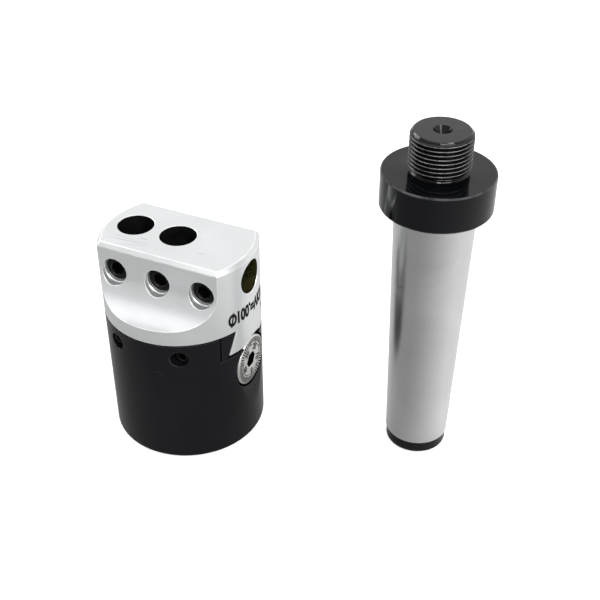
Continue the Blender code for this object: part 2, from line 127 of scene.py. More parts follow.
def calc(tree, operation, *values, clamp=False):
    """One Math node; returns its output socket."""
    inputs = dict(enumerate(values))
    return add(tree, "ShaderNodeMath", inputs, operation=operation, use_clamp=clamp).outputs[0]


def new_group(name, kind, inputs, outputs):
    """A node group with named sockets; returns the tree, its input sockets and its output node."""
    tree = bpy.data.node_groups.new(name, kind)
    for label, (socket, default) in inputs.items():
        made = tree.interface.new_socket(label, in_out="INPUT", socket_type=socket)
        if default is not None:
            made.default_value = default
    for label, socket in outputs.items():
        tree.interface.new_socket(label, in_out="OUTPUT", socket_type=socket)
    return tree, tree.nodes.new("NodeGroupInput").outputs, tree.nodes.new("NodeGroupOutput")


def own_place(tree):
    """Where a point lies in its piece's own coordinates."""
    return add(tree, "ShaderNodeTexCoord").outputs["Object"]


def vector_calc(tree, operation, first, second):
    """One Vector Math node; returns its node, since a dot product leaves by another output."""
    return add(tree, "ShaderNodeVectorMath", {0: first, 1: second}, operation=operation)


def noise(tree, place, scale, **more):
    """One Noise Texture node; returns its value from 0 to 1."""
    inputs = {"Vector": place, "Scale": scale, **more}
    return add(tree, "ShaderNodeTexNoise", inputs).outputs[0]


def mixed_number(tree, share, first, second):
    """The first number with a share of the second mixed in."""
    return add(tree, "ShaderNodeMix", {"Factor": share, "A": first, "B": second}).outputs[0]


def mixed_colour(tree, share, first, second):
    """The first colour with a share of the second mixed in."""
    inputs = {"Factor": share, "A": first, "B": second}
    return add(tree, "ShaderNodeMix", inputs, data_type="RGBA").outputs[2]


def end_tree(tree, geometry, material, result):
    """Ends a Geometry Nodes tree: real geometry, its material, and the group's output."""
    whole = add(tree, "GeometryNodeRealizeInstances", {"Geometry": geometry})
    inputs = {"Geometry": whole.outputs[0], "Material": material}
    coloured = add(tree, "GeometryNodeSetMaterial", inputs)
    tree.links.new(coloured.outputs[0], result.inputs["Mesh"])
    print("tree:", tree.name, len(tree.nodes), "nodes")


FLOAT, INTEGER, VECTOR = "NodeSocketFloat", "NodeSocketInt", "NodeSocketVector"
GEOMETRY, MATERIAL = "NodeSocketGeometry", "NodeSocketMaterial"

# %% [markdown]
# ## Shared effects: grain
# Every metal here carries tool marks. On a turned or ground part they run round it, on a milled
# face they run along it. Stretched noise does both: the Stretch input says how fast the noise
# changes along each axis, so one group serves the taper, the flats and the black parts.

# %% Grain
grain_tree, sockets, result = new_group(
    "grain", "ShaderNodeTree", {"Stretch": (VECTOR, (1, 1, 1))}, {"Height": FLOAT}
)
stretched = vector_calc(grain_tree, "MULTIPLY", own_place(grain_tree), sockets["Stretch"])
streaks = noise(grain_tree, stretched.outputs[0], 1.0, Detail=5.0, Roughness=0.65)
grain_tree.links.new(streaks, result.inputs["Height"])
print("group:", grain_tree.name)

# %% [markdown]
# ## Shared effects: handling
# Oil, fingers and a wiped rag leave broad, soft patches that are a little shinier or duller than
# the rest. A slow noise moves the roughness about its base value, and tones the colour with it.

# %% Handling
handling_tree, sockets, result = new_group(
    "handling",
    "ShaderNodeTree",
    {"Scale": (FLOAT, 60.0), "Base": (FLOAT, 0.3), "Change": (FLOAT, 0.1)},
    {"Roughness": FLOAT, "Tone": FLOAT},
)
patches = noise(
    handling_tree, own_place(handling_tree), sockets["Scale"], Detail=4.0, Distortion=0.6
)
centred = calc(handling_tree, "SUBTRACT", patches, 0.5)
moved = calc(handling_tree, "MULTIPLY_ADD", centred, sockets["Change"], sockets["Base"])
handling_tree.links.new(moved, result.inputs["Roughness"])
tone = calc(handling_tree, "MULTIPLY_ADD", centred, 2.0, 0.5, clamp=True)
handling_tree.links.new(tone, result.inputs["Tone"])
print("group:", handling_tree.name)

# %% [markdown]
# ## Shared effects: worn edges with a painted highlight
# The eased edges of each piece get a face attribute when they are made, further down. Wear keeps
# to those faces, and a noise breaks it up, so the line along an edge comes and goes. The worn
# colour is lighter than the finish, so the line is both wear and a painted highlight.

# %% Worn edges, with a painted highlight
EASED_MARK = "eased"

wear_and_highlight_tree, sockets, result = new_group(
    "edge_wear",
    "ShaderNodeTree",
    {"Breakup": (FLOAT, 300.0), "Amount": (FLOAT, 0.5)},
    {"Mask": FLOAT},
)
on_edge = add(wear_and_highlight_tree, "ShaderNodeAttribute", attribute_name=EASED_MARK).outputs["Fac"]
broken = noise(wear_and_highlight_tree, own_place(wear_and_highlight_tree), sockets["Breakup"], Detail=3.0)
kept = calc(wear_and_highlight_tree, "MULTIPLY_ADD", broken, 2.4, -0.6, clamp=True)
most = calc(wear_and_highlight_tree, "MULTIPLY", on_edge, sockets["Amount"])
masked = calc(wear_and_highlight_tree, "MULTIPLY", kept, most)
wear_and_highlight_tree.links.new(masked, result.inputs["Mask"])
print("group:", wear_and_highlight_tree.name)

# %% [markdown]
# ## Shared effects: hairline scratches
# A scratch is long and thin. The line where a stretched noise crosses its middle value has that
# shape, and a second, slower noise decides where on the surface such lines appear at all.

# %% Hairline scratches
scratch_tree, sockets, result = new_group(
    "scratches",
    "ShaderNodeTree",
    {"Stretch": (VECTOR, (40, 300, 300)), "Width": (FLOAT, 0.006), "Share": (FLOAT, 0.4)},
    {"Mask": FLOAT},
)
place = own_place(scratch_tree)
stretched = vector_calc(scratch_tree, "MULTIPLY", place, sockets["Stretch"])
lines = noise(scratch_tree, stretched.outputs[0], 1.0, Detail=1.0)
off_line = calc(scratch_tree, "ABSOLUTE", calc(scratch_tree, "SUBTRACT", lines, 0.5))
off_share = calc(scratch_tree, "DIVIDE", off_line, sockets["Width"])
on_line = calc(scratch_tree, "SUBTRACT", 1.0, off_share, clamp=True)
where = noise(scratch_tree, place, 130.0, Detail=2.0)
allowed = calc(scratch_tree, "LESS_THAN", where, sockets["Share"])
mask = calc(scratch_tree, "MULTIPLY", on_line, allowed)
scratch_tree.links.new(mask, result.inputs["Mask"])
print("group:", scratch_tree.name)

# %% [markdown]
# ## Shared effects: a single stroke
# A tool dragged once over a face leaves one straight, shallow mark that tapers at both ends. The
# group measures how far a point is from a line piece: along it for the taper, across it for
# the width. It works in plan, so it is for faces that look up.

# %% A single stroke
stroke_tree, sockets, result = new_group(
    "stroke",
    "ShaderNodeTree",
    {
        "Centre": (VECTOR, (0, 0, 0)),
        "Turn": (FLOAT, 0.0),
        "Half length": (FLOAT, 4 * MM),
        "Half width": (FLOAT, 0.12 * MM),
    },
    {"Mask": FLOAT},
)
local = vector_calc(stroke_tree, "SUBTRACT", own_place(stroke_tree), sockets["Centre"])
laid = add(
    stroke_tree,
    "ShaderNodeVectorRotate",
    {"Vector": local.outputs[0], "Angle": calc(stroke_tree, "MULTIPLY", sockets["Turn"], -1.0)},
    rotation_type="Z_AXIS",
)
parts = add(stroke_tree, "ShaderNodeSeparateXYZ", {0: laid.outputs[0]}).outputs
off_x, off_y, off_z = [calc(stroke_tree, "ABSOLUTE", part) for part in parts]
along = calc(stroke_tree, "DIVIDE", off_x, sockets["Half length"])
tapered = calc(stroke_tree, "SUBTRACT", 1.0, calc(stroke_tree, "POWER", along, 3.0), clamp=True)
across = calc(stroke_tree, "DIVIDE", off_y, sockets["Half width"])
narrow = calc(stroke_tree, "SUBTRACT", 1.0, across, clamp=True)
on_face = calc(stroke_tree, "LESS_THAN", off_z, 0.5 * MM)
mask = calc(stroke_tree, "MULTIPLY", calc(stroke_tree, "MULTIPLY", tapered, narrow), on_face)
stroke_tree.links.new(mask, result.inputs["Mask"])
print("group:", stroke_tree.name)

# %% [markdown]
# ## Metal finishes
# All finishes are the same build with other numbers: a base colour toned by handling and grain,
# brightened on worn edges, as wear and a painted highlight line, and in scratches, and grain as a
# very low bump. A stroke is cut deeper and darkens the colour. The shader stays in the material,
# with its constants on its sockets.

# %% The build of a metal finish
SCRATCH_DEPTH = 3.0
SCRATCH_BARED = 0.5
STROKE_SHADE = 0.45
GRAIN_SHARE = 0.35


def metal_finish(
    name,
    colour,
    dark_colour,
    worn_colour,
    metallic,
    roughness,
    rough_change=0.08,
    patch_scale=60.0,
    grain=(400, 400, 4000),
    grain_depth=4e-6,
    wear=0.5,
    scratch_share=0.42,
    scratch_stretch=(60, 700, 700),
    specular=0.5,
    strokes=(),
):
    """A metal or coated-metal material from the shared groups.

    Each of the strokes is one set of inputs for the stroke group.
    """
    made = bpy.data.materials.new(name)
    made.use_nodes = True
    tree = made.node_tree
    shader = tree.nodes["Principled BSDF"]
    shader.inputs["Metallic"].default_value = metallic
    shader.inputs["Specular IOR Level"].default_value = specular

    def use(group, values):
        """Places a shared group with these inputs; returns its outputs."""
        return add(tree, "ShaderNodeGroup", values, node_tree=group).outputs

    handled = use(
        handling_tree, {"Scale": patch_scale, "Base": roughness, "Change": rough_change}
    )
    marks = use(grain_tree, {"Stretch": grain})["Height"]
    worn = use(wear_and_highlight_tree, {"Amount": wear})["Mask"]
    scratched = use(scratch_tree, {"Stretch": scratch_stretch, "Share": scratch_share})["Mask"]
    broad = calc(tree, "MULTIPLY", handled["Tone"], 1 - GRAIN_SHARE)
    fine = calc(tree, "MULTIPLY_ADD", marks, GRAIN_SHARE, broad)
    toned = mixed_colour(tree, fine, (*dark_colour, 1), (*colour, 1))
    # Worn edges turn to the lighter worn colour: wear and a painted highlight line along each edge.
    bared = calc(tree, "MAXIMUM", worn, calc(tree, "MULTIPLY", scratched, SCRATCH_BARED))
    for stroke_inputs in strokes:
        stroke = use(stroke_tree, stroke_inputs)["Mask"]
        scratched = calc(tree, "MAXIMUM", scratched, stroke)
        shade = calc(tree, "MULTIPLY", stroke, STROKE_SHADE)
        toned = mixed_colour(tree, shade, toned, (0, 0, 0, 1))
    final = mixed_colour(tree, bared, toned, (*worn_colour, 1))
    tree.links.new(final, shader.inputs["Base Color"])
    tree.links.new(handled["Roughness"], shader.inputs["Roughness"])
    height = calc(tree, "SUBTRACT", marks, calc(tree, "MULTIPLY", scratched, SCRATCH_DEPTH))
    bump = add(tree, "ShaderNodeBump", {"Height": height, "Distance": grain_depth, "Strength": 1.0})
    tree.links.new(bump.outputs[0], shader.inputs["Normal"])
    return made


# %% [markdown]
# ## Finishes of this pair
# The holder is satin plated, the taper and the dial are bare ground steel, and the body, flange
# and screws are blacked. The bores are bare and oily, and their colour is painted dark as shade:
# the top ones are painted nearly black, and the side one is an oily yellow broken by painted
# shade. The black finishes have no metallic part, because the oxide film is a dark, slightly
# glossy skin. The taper's scratches run lengthwise, the way it is pushed into its socket and
# drawn out again.

# %% Finishes of this pair
def on_holder_top(x, y, degrees, half_length, half_width):
    """A stroke on the holder's top face, placed from the head's axis; lengths in mm."""
    return {
        "Centre": (HEAD_AXIS.x + x * MM, HEAD_AXIS.y + y * MM, HEAD_H),
        "Turn": math.radians(degrees),
        "Half length": half_length * MM,
        "Half width": half_width * MM,
    }


holder_strokes = [
    on_holder_top(-12.5, -8.9, 5, 7.5, 0.18),
    on_holder_top(-15.0, -7.6, -4, 5.0, 0.12),
    on_holder_top(-10.0, -10.2, 14, 5.5, 0.12),
    on_holder_top(-8.6, -6.0, 2, 1.6, 0.22),
    on_holder_top(11.5, -6.0, 8, 1.5, 0.18),
]
satin_plate = metal_finish(
    "satin_plated_steel", (0.745, 0.762, 0.765), (0.655, 0.670, 0.674), (0.93, 0.93, 0.93),
    0.78, 0.34, grain=(500, 500, 500), grain_depth=3e-6, wear=0.9, scratch_share=0.40,
    strokes=holder_strokes,
)
# Top bores: oily steel, its colour darkened to near black as painted shade in the bores.
bore_steel = metal_finish(
    "oily_bore_steel", (0.060, 0.062, 0.066), (0.008, 0.008, 0.009), (0.10, 0.10, 0.10),
    0.85, 0.24, patch_scale=150.0, grain=(300, 300, 5000), wear=0.2, scratch_share=0.3,
)
# Side bore: an oily yellow tint with near-black patches of painted shade, so its lit lower wall
# shows a mottled yellow glint.
side_bore_steel = metal_finish(
    "oily_side_bore_steel", (0.36, 0.34, 0.12), (0.006, 0.006, 0.004), (0.5, 0.48, 0.3),
    0.9, 0.20, patch_scale=420.0, grain=(5000, 300, 300), wear=0.2, scratch_share=0.3,
)
black_oxide = metal_finish(
    "black_oxide", (0.0052, 0.0050, 0.0064), (0.0030, 0.0029, 0.0038), (0.08, 0.08, 0.085),
    0.0, 0.25, rough_change=0.10, grain=(150, 150, 2600), grain_depth=3e-6, wear=0.18,
    scratch_share=0.30, specular=0.17,
)
black_gloss = metal_finish(
    "glossy_black_oxide", (0.0026, 0.0029, 0.0036), (0.0014, 0.0016, 0.0021), (0.14, 0.14, 0.15),
    0.0, 0.10, rough_change=0.08, grain=(200, 200, 2600), grain_depth=1e-6, wear=0.4,
    scratch_share=0.33, specular=0.24,
)
# The thread's bright worn colour, put on the stud's crests, is rubbed film and a painted highlight
# line.
thread_black = metal_finish(
    "blacked_thread", (0.0022, 0.0022, 0.0026), (0.0012, 0.0012, 0.0015), (0.34, 0.34, 0.35),
    0.0, 0.10, rough_change=0.06, specular=0.36, grain=(300, 300, 5000), wear=0.8, scratch_share=0.3,
)
screw_black = metal_finish(
    "blacked_set_screw", (0.0030, 0.0030, 0.0034), (0.0015, 0.0015, 0.0018), (0.030, 0.030, 0.033),
    0.0, 0.26, rough_change=0.12, grain=(900, 900, 900), wear=0.3, scratch_share=0.3,
    specular=0.13,
)
ground_taper = metal_finish(
    "ground_taper", (0.75, 0.75, 0.745), (0.60, 0.60, 0.605), (0.90, 0.90, 0.90),
    1.0, 0.27, rough_change=0.10, patch_scale=45.0, grain=(70, 70, 4200), grain_depth=5e-6,
    wear=0.7, scratch_share=0.34, scratch_stretch=(900, 900, 40),
)
dial_steel = metal_finish(
    "dial_face_steel", (0.80, 0.81, 0.78), (0.68, 0.69, 0.66), (0.94, 0.94, 0.92),
    1.0, 0.34, patch_scale=220.0, grain=(3800, 260, 260), grain_depth=3e-6, wear=0.8,
)
key_steel = metal_finish(
    "bright_key_steel", (0.60, 0.60, 0.60), (0.45, 0.45, 0.46), (0.80, 0.80, 0.80), 1.0, 0.28
)
nut_brass = metal_finish(
    "turned_brass", (0.72, 0.50, 0.20), (0.55, 0.36, 0.12), (0.85, 0.66, 0.34), 1.0, 0.28
)
marking_ink = metal_finish(
    "marking_ink", (0.010, 0.010, 0.010), (0.004, 0.004, 0.004), (0.05, 0.05, 0.05),
    0.0, 0.55, grain=(2500, 2500, 2500), grain_depth=4e-6, wear=0.0, scratch_share=0.2,
    specular=0.06,
)
print("finishes:", [m.name for m in bpy.data.materials if m.use_nodes and "_" in m.name])

# %% [markdown]
# ## Making solids
# Nearly everything here was turned on a lathe and then milled. The helpers follow that: a
# profile spun about Z, an outline pushed through along one axis, and cutters taken away from a
# blank. A cutter's material goes with the faces it leaves, so a bore can be darker than the face,
# which is how shade is painted into the bores.

# %% Blanks and cutters
ROUND = 144
POCKET_ROUND = 128
BORE_ROUND = 64
HOLE_ROUND = 48
ARBOR_ROUND = 192
PAST = 2.0 * MM
SPIN_WELD = 0.002 * MM
RING_WELD = 0.003 * MM
ALONG_X = Matrix.Rotation(math.pi / 2, 4, "Y")
FACING_FRONT = Matrix.Rotation(math.pi / 2, 4, "X")
YZ_OUTLINE = Matrix(((0, 0, 1, 0), (1, 0, 0, 0), (0, 1, 0, 0), (0, 0, 0, 1)))
XZ_OUTLINE = Matrix(((1, 0, 0, 0), (0, 0, -1, 0), (0, 1, 0, 0), (0, 0, 0, 1)))


def mesh_from(shape, name, material=None):
    """Writes a bmesh to a new mesh, facing outwards."""
    bmesh.ops.recalc_face_normals(shape, faces=shape.faces)
    mesh = bpy.data.meshes.new(name)
    shape.to_mesh(mesh)
    shape.free()
    if material is not None:
        mesh.materials.append(material)
    return mesh


def spin_profile(shape, profile, steps):
    """Spins (radius, height) points about Z into the given bmesh."""
    points = [shape.verts.new((r, 0.0, z)) for r, z in profile]
    edges = [shape.edges.new(pair) for pair in zip(points, points[1:])]
    bmesh.ops.spin(
        shape, geom=points + edges, axis=(0, 0, 1), cent=(0, 0, 0), angle=2 * math.pi, steps=steps
    )
    bmesh.ops.remove_doubles(shape, verts=shape.verts, dist=SPIN_WELD)


def turned(name, profile, material, steps=ROUND, move=Matrix.Identity(4)):
    """A closed turned solid."""
    shape = bmesh.new()
    spin_profile(shape, profile, steps)
    bmesh.ops.transform(shape, matrix=move, verts=shape.verts)
    return mesh_from(shape, name, material)


def rod(name, radius, start, end, material, steps=BORE_ROUND, move=Matrix.Identity(4)):
    """A plain round rod along Z from start to end, then moved."""
    profile = [(0, end), (radius, end), (radius, start), (0, start)]
    return turned(name, profile, material, steps, move)


def pushed(name, outline, start, end, material, move=Matrix.Identity(4)):
    """An outline in XY pushed along Z from start to end, then moved."""
    shape = bmesh.new()
    near = [shape.verts.new((x, y, start)) for x, y in outline]
    far = [shape.verts.new((x, y, end)) for x, y in outline]
    for i in range(len(outline)):
        j = (i + 1) % len(outline)
        shape.faces.new((near[i], near[j], far[j], far[i]))
    shape.faces.new(near)
    shape.faces.new(list(reversed(far)))
    bmesh.ops.transform(shape, matrix=move, verts=shape.verts)
    return mesh_from(shape, name, material)


def arc(centre_x, centre_y, radius, start, end, steps=24):
    """Points along an arc, both ends included; angles in radians."""
    angles = [start + (end - start) * i / steps for i in range(steps + 1)]
    return [(centre_x + radius * math.cos(a), centre_y + radius * math.sin(a)) for a in angles]


def open_edges(mesh):
    """How many edges of a mesh don't join exactly two faces; a closed solid has none."""
    uses = [0] * len(mesh.edges)
    for loop in mesh.loops:
        uses[loop.edge_index] += 1
    return sum(1 for use in uses if use != 2)


def carve(blank, cutters, operation="DIFFERENCE"):
    """Takes the cutters from the blank, one after another, and returns the plain mesh."""
    work = bpy.data.objects.new(blank.name, blank)
    SCENE.collection.objects.link(work)
    tools = []
    for cutter in cutters:
        tool = bpy.data.objects.new(cutter.name, cutter)
        SCENE.collection.objects.link(tool)
        tools.append(tool)
        step = work.modifiers.new(cutter.name, "BOOLEAN")
        step.operation = operation
        step.object = tool
        step.material_mode = "TRANSFER"
    graph = bpy.context.evaluated_depsgraph_get()
    mesh = bpy.data.meshes.new_from_object(work.evaluated_get(graph))
    for used in [work, *tools]:
        bpy.data.objects.remove(used, do_unlink=True)
    print("carved", blank.name, "with", len(cutters), "cutters,", open_edges(mesh), "open edges")
    return mesh


# %% [markdown]
# ## Easing the edges
# No machined edge is perfectly sharp: a file or a tumbler takes off a tenth or two, and that
# narrow band is what catches the light. Flat neighbours are merged first, so the band keeps one
# width, and the new faces are marked for the group that paints wear and a highlight on them.
# Inner corners stay as they are cut.

# %% Easing the edges
EASE = 0.2 * MM
CREASE = math.radians(28)
FACET = math.radians(12)
THREAD_FACET = math.radians(68)
FLAT_WITHIN = math.radians(0.5)
WELD_SHARE = 0.9


def eased(mesh, width=EASE, crease=CREASE):
    """Bevels every sharp outer edge by width and marks the new faces as eased."""
    shape = bmesh.new()
    shape.from_mesh(mesh)
    bmesh.ops.remove_doubles(shape, verts=shape.verts, dist=min(width, EASE) * WELD_SHARE)
    bmesh.ops.dissolve_limit(
        shape,
        angle_limit=FLAT_WITHIN,
        verts=shape.verts,
        edges=shape.edges,
        delimit={"MATERIAL"},
    )
    mark = shape.faces.layers.float.new(EASED_MARK)
    sharp = [
        e for e in shape.edges
        if e.is_manifold and e.is_convex and e.calc_face_angle(0) > crease
    ]
    made = bmesh.ops.bevel(
        shape,
        geom=sharp,
        offset=width,
        offset_type="OFFSET",
        segments=2,
        profile=0.5,
        affect="EDGES",
        clamp_overlap=False,
    )
    for face in made["faces"]:
        face[mark] = 1.0
    shape.to_mesh(mesh)
    shape.free()
    return mesh


BARREL_SLACK = 0.02 * MM
UPRIGHT_WITHIN = 0.01
CRISP_MARK = "crisp"


def true_barrel(mesh, radius):
    """Gives the faces on a turned barrel about Z their exact radial normals."""
    normals = [corner.vector.copy() for corner in mesh.corner_normals]
    for face in mesh.polygons:
        spokes = [mesh.vertices[v].co.xy.to_3d() for v in face.vertices]
        on_barrel = all(abs(spoke.length - radius) < BARREL_SLACK for spoke in spokes)
        if on_barrel and abs(face.normal.z) < UPRIGHT_WITHIN:
            for corner, spoke in zip(face.loop_indices, spokes):
                normals[corner] = spoke.normalized()
    mesh.normals_split_custom_set(normals)


def add_piece(name, mesh, axis, body, stands_for=(), facet=FACET, barrel=None):
    """Moves a finished mesh to its axis and hands it to the frame as a piece.

    Faces that meet at less than the facet angle are shaded as one smooth surface, and edges
    marked as crisp stay sharp whatever their angle.
    """
    mesh.shade_smooth()
    mesh.set_sharp_from_angle(angle=facet)
    if CRISP_MARK in mesh.attributes:
        for edge, mark in zip(mesh.edges, mesh.attributes[CRISP_MARK].data):
            edge.use_edge_sharp = edge.use_edge_sharp or mark.value > 0
    if barrel:
        true_barrel(mesh, barrel)
    mesh.transform(Matrix.Translation(axis))
    piece = bpy.data.objects.new(name, mesh)
    SCENE.collection.objects.link(piece)
    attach(piece, body)
    if stands_for:
        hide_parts(*stands_for)
    print(name, len(mesh.polygons), "faces,", open_edges(mesh), "open edges")
    return piece


# %% [markdown]
# ## Screw threads, with Geometry Nodes
# A thread repeats exactly, turn after turn, on the stud, in its socket, on the feed screw and on
# five set screws. It could be a ridge swept along a spiral, but swept ends need trimming. Here a
# flat grid is rolled up and sheared by one pitch, so its rows follow the crest, and the last
# column of one turn meets the first column of the next. The height fades to the root at both
# ends, so the sheet closes on two plain rings. A crest smaller than the root makes a nut's thread.

# %% The thread tree
thread_tree, sockets, result = new_group(
    "screw_thread",
    "GeometryNodeTree",
    {
        "Root radius": (FLOAT, 8.2 * MM),
        "Crest radius": (FLOAT, 9.0 * MM),
        "Pitch": (FLOAT, 1.27 * MM),
        "Bottom": (FLOAT, 0.0),
        "Top": (FLOAT, 9.0 * MM),
        "Run-out": (FLOAT, 0.8 * MM),
        "Flat share": (FLOAT, 0.125),
        "Steps": (INTEGER, 96),
        "Rows per turn": (INTEGER, 16),
        "Material": (MATERIAL, None),
    },
    {"Mesh": GEOMETRY},
)
t = thread_tree
length = calc(t, "SUBTRACT", sockets["Top"], sockets["Bottom"])
turns = calc(t, "CEIL", calc(t, "ADD", calc(t, "DIVIDE", length, sockets["Pitch"]), 2.0))
rows = calc(t, "MULTIPLY", turns, sockets["Rows per turn"])
sheet = add(
    t,
    "GeometryNodeMeshGrid",
    {
        "Size X": 1.0,
        "Size Y": 1.0,
        "Vertices X": calc(t, "ADD", sockets["Steps"], 1.0),
        "Vertices Y": calc(t, "ADD", rows, 1.0),
    },
)
flat_place = add(t, "ShaderNodeSeparateXYZ", {0: add(t, "GeometryNodeInputPosition").outputs[0]})
round_share = calc(t, "ADD", flat_place.outputs[0], 0.5)
up_share = calc(t, "ADD", flat_place.outputs[1], 0.5)
turn_count = calc(t, "MULTIPLY", up_share, turns)
climb = calc(t, "SUBTRACT", calc(t, "ADD", turn_count, round_share), 1.0)
raw_z = calc(t, "MULTIPLY_ADD", climb, sockets["Pitch"], sockets["Bottom"])
z = calc(t, "MINIMUM", calc(t, "MAXIMUM", raw_z, sockets["Bottom"]), sockets["Top"])
phase = calc(t, "FRACT", turn_count)
ridge = calc(
    t, "SUBTRACT", 1.0, calc(t, "ABSOLUTE", calc(t, "MULTIPLY_ADD", phase, 2.0, -1.0))
)
flank = calc(t, "SUBTRACT", 1.0, calc(t, "MULTIPLY", sockets["Flat share"], 2.0))
profile = calc(
    t, "DIVIDE", calc(t, "SUBTRACT", ridge, sockets["Flat share"]), flank, clamp=True
)
from_bottom = calc(t, "DIVIDE", calc(t, "SUBTRACT", z, sockets["Bottom"]), sockets["Run-out"])
from_top = calc(t, "DIVIDE", calc(t, "SUBTRACT", sockets["Top"], z), sockets["Run-out"])
height = calc(t, "MINIMUM", profile, calc(t, "MINIMUM", from_bottom, from_top))
depth = calc(t, "SUBTRACT", sockets["Crest radius"], sockets["Root radius"])
radius = calc(t, "MULTIPLY_ADD", depth, height, sockets["Root radius"])
angle = calc(t, "MULTIPLY", round_share, 2 * math.pi)
rolled = add(
    t,
    "ShaderNodeCombineXYZ",
    {
        0: calc(t, "MULTIPLY", radius, calc(t, "COSINE", angle)),
        1: calc(t, "MULTIPLY", radius, calc(t, "SINE", angle)),
        2: z,
    },
)
moved = add(
    t, "GeometryNodeSetPosition", {"Geometry": sheet.outputs[0], "Position": rolled.outputs[0]}
)
closed = add(
    t, "GeometryNodeMergeByDistance", {"Geometry": moved.outputs[0], "Distance": RING_WELD}
)
end_tree(t, closed.outputs[0], sockets["Material"], result)


# %% [markdown]
# ## From a tree to a plain mesh
# A tree is put on an empty object as a modifier, its inputs are set by their identifiers, and
# the evaluated result is taken off as a mesh. The modifier goes away with its object.

# %% From a tree to a plain mesh
def grown(tree, name, **values):
    """The plain mesh that a Geometry Nodes tree makes with these inputs."""
    work = bpy.data.objects.new(name, bpy.data.meshes.new(name + "_seed"))
    SCENE.collection.objects.link(work)
    step = work.modifiers.new(tree.name, "NODES")
    step.node_group = tree
    known = {
        item.name.replace(" ", "_").replace("-", "_").lower(): item.identifier
        for item in tree.interface.items_tree
        if item.item_type == "SOCKET" and item.in_out == "INPUT"
    }
    for label, value in values.items():
        step[known[label]] = value
    graph = bpy.context.evaluated_depsgraph_get()
    mesh = bpy.data.meshes.new_from_object(work.evaluated_get(graph))
    bpy.data.objects.remove(work, do_unlink=True)
    mesh.name = name
    mesh.materials.clear()
    mesh.materials.append(values["material"])
    mesh.polygons.foreach_set("material_index", [0] * len(mesh.polygons))
    return mesh


def with_ends(mesh, profiles, steps, name, material):
    """Closes a thread's two rings with turned surfaces that start on them.

    A thread is shaded smooth over steep flanks, so the edges of its ends are marked as crisp.
    """
    shape = bmesh.new()
    shape.from_mesh(mesh)
    at_end = shape.faces.layers.int.new("at_end")
    threads = len(shape.faces)
    for profile in profiles:
        spin_profile(shape, profile, steps)
    shape.faces.ensure_lookup_table()
    for face in shape.faces[threads:]:
        face[at_end] = 1
    bmesh.ops.remove_doubles(shape, verts=shape.verts, dist=RING_WELD)
    crisp = shape.edges.layers.int.new(CRISP_MARK)
    for edge in shape.edges:
        if any(face[at_end] for face in edge.link_faces) and edge.calc_face_angle(0) > FACET:
            edge[crisp] = 1
    return mesh_from(shape, name, material)


# %% [markdown]
# ## The black body
# The body is a turned blank with the arbor's thread in its foot. A dovetail slot runs across the
# top, a round-ended well under it lets the feed nut travel, and a pocket at one end takes the
# dial. Below the pocket a shallow sloping flat uncovers the graduations.

# %% Sizes of the slideway
SLIDE_GAP = 0.2 * MM
TAIL_NECK_Y = 8.1 * MM
TAIL_ANGLE = math.radians(70)
SLOT_FLOOR = TAIL_Z - 1.1 * MM
GIB_WALL_Y = 14.0 * MM
THREAD_R = 9.0 * MM
THREAD_ROOT_R = 8.2 * MM
SOCKET_DEPTH = 19.0 * MM
SOCKET_MOUTH = 1.0 * MM
FOOT_BREAK = 0.8 * MM
FEED_SCREW_R = 4.0 * MM
DIAL_THICKNESS = 4.0 * MM
DIAL_POCKET_R = DIAL_R + 0.7 * MM
DIAL_BACK_X = DIAL_FACE_X - DIAL_THICKNESS - SLIDE_GAP
RUNNING_GAP = 0.3 * MM
TRAVEL_IN = 0.635 * MM
TRAVEL_OUT = 12.7 * MM
RELIEF_FOOT = 12.0 * MM
RELIEF_SLOPE = 0.09
ON_FEED_AXIS = Matrix.Translation((0, 0, FEED_Z)) @ ALONG_X


def tail_half_width(z):
    """Half the width of the holder's dovetail at height z."""
    return TAIL_NECK_Y + (BODY_H - z) / math.tan(TAIL_ANGLE)


# %% The black body
def slideway_cutters():
    """Dovetail slot, nut well, feed bore and key slot."""
    gap = SLIDE_GAP / math.sin(TAIL_ANGLE)
    slot = [
        (-GIB_WALL_Y, SLOT_FLOOR),
        (tail_half_width(SLOT_FLOOR) + gap, SLOT_FLOOR),
        (tail_half_width(BODY_H) + gap, BODY_H),
        (tail_half_width(BODY_H) + gap, BODY_H + PAST),
        (-GIB_WALL_Y, BODY_H + PAST),
    ]
    nut_low, nut_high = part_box("feed_nut")
    nut_r = (nut_high.y - nut_low.y) / 2 + RUNNING_GAP
    nut_x = (nut_low.x + nut_high.x) / 2 - HEAD_AXIS.x
    well = arc(nut_x + TRAVEL_IN, 0, nut_r, -math.pi / 2, math.pi / 2)
    well += arc(nut_x - TRAVEL_OUT, 0, nut_r, math.pi / 2, 3 * math.pi / 2)
    key_low, key_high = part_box("retainer_key")
    key_y = (key_high.y - key_low.y) / 2 + SLIDE_GAP
    key_from = key_low.x - HEAD_AXIS.x - SLIDE_GAP
    key_to = key_high.x - HEAD_AXIS.x + PAST / 2
    key_slot = [(key_from, -key_y), (key_to, -key_y), (key_to, key_y), (key_from, key_y)]
    return [
        pushed("slot", slot, -HEAD_R - PAST, HEAD_R + PAST, None, YZ_OUTLINE),
        pushed("nut_well", well, nut_low.z - RUNNING_GAP, SLOT_FLOOR + PAST, None),
        pushed("key_slot", key_slot, key_low.z - SLIDE_GAP, SLOT_FLOOR + PAST, None),
        rod(
            "feed_bore", FEED_SCREW_R + RUNNING_GAP, FEED_TAIL_X - PAST, HEAD_R + PAST / 2,
            None, move=ON_FEED_AXIS,
        ),
    ]


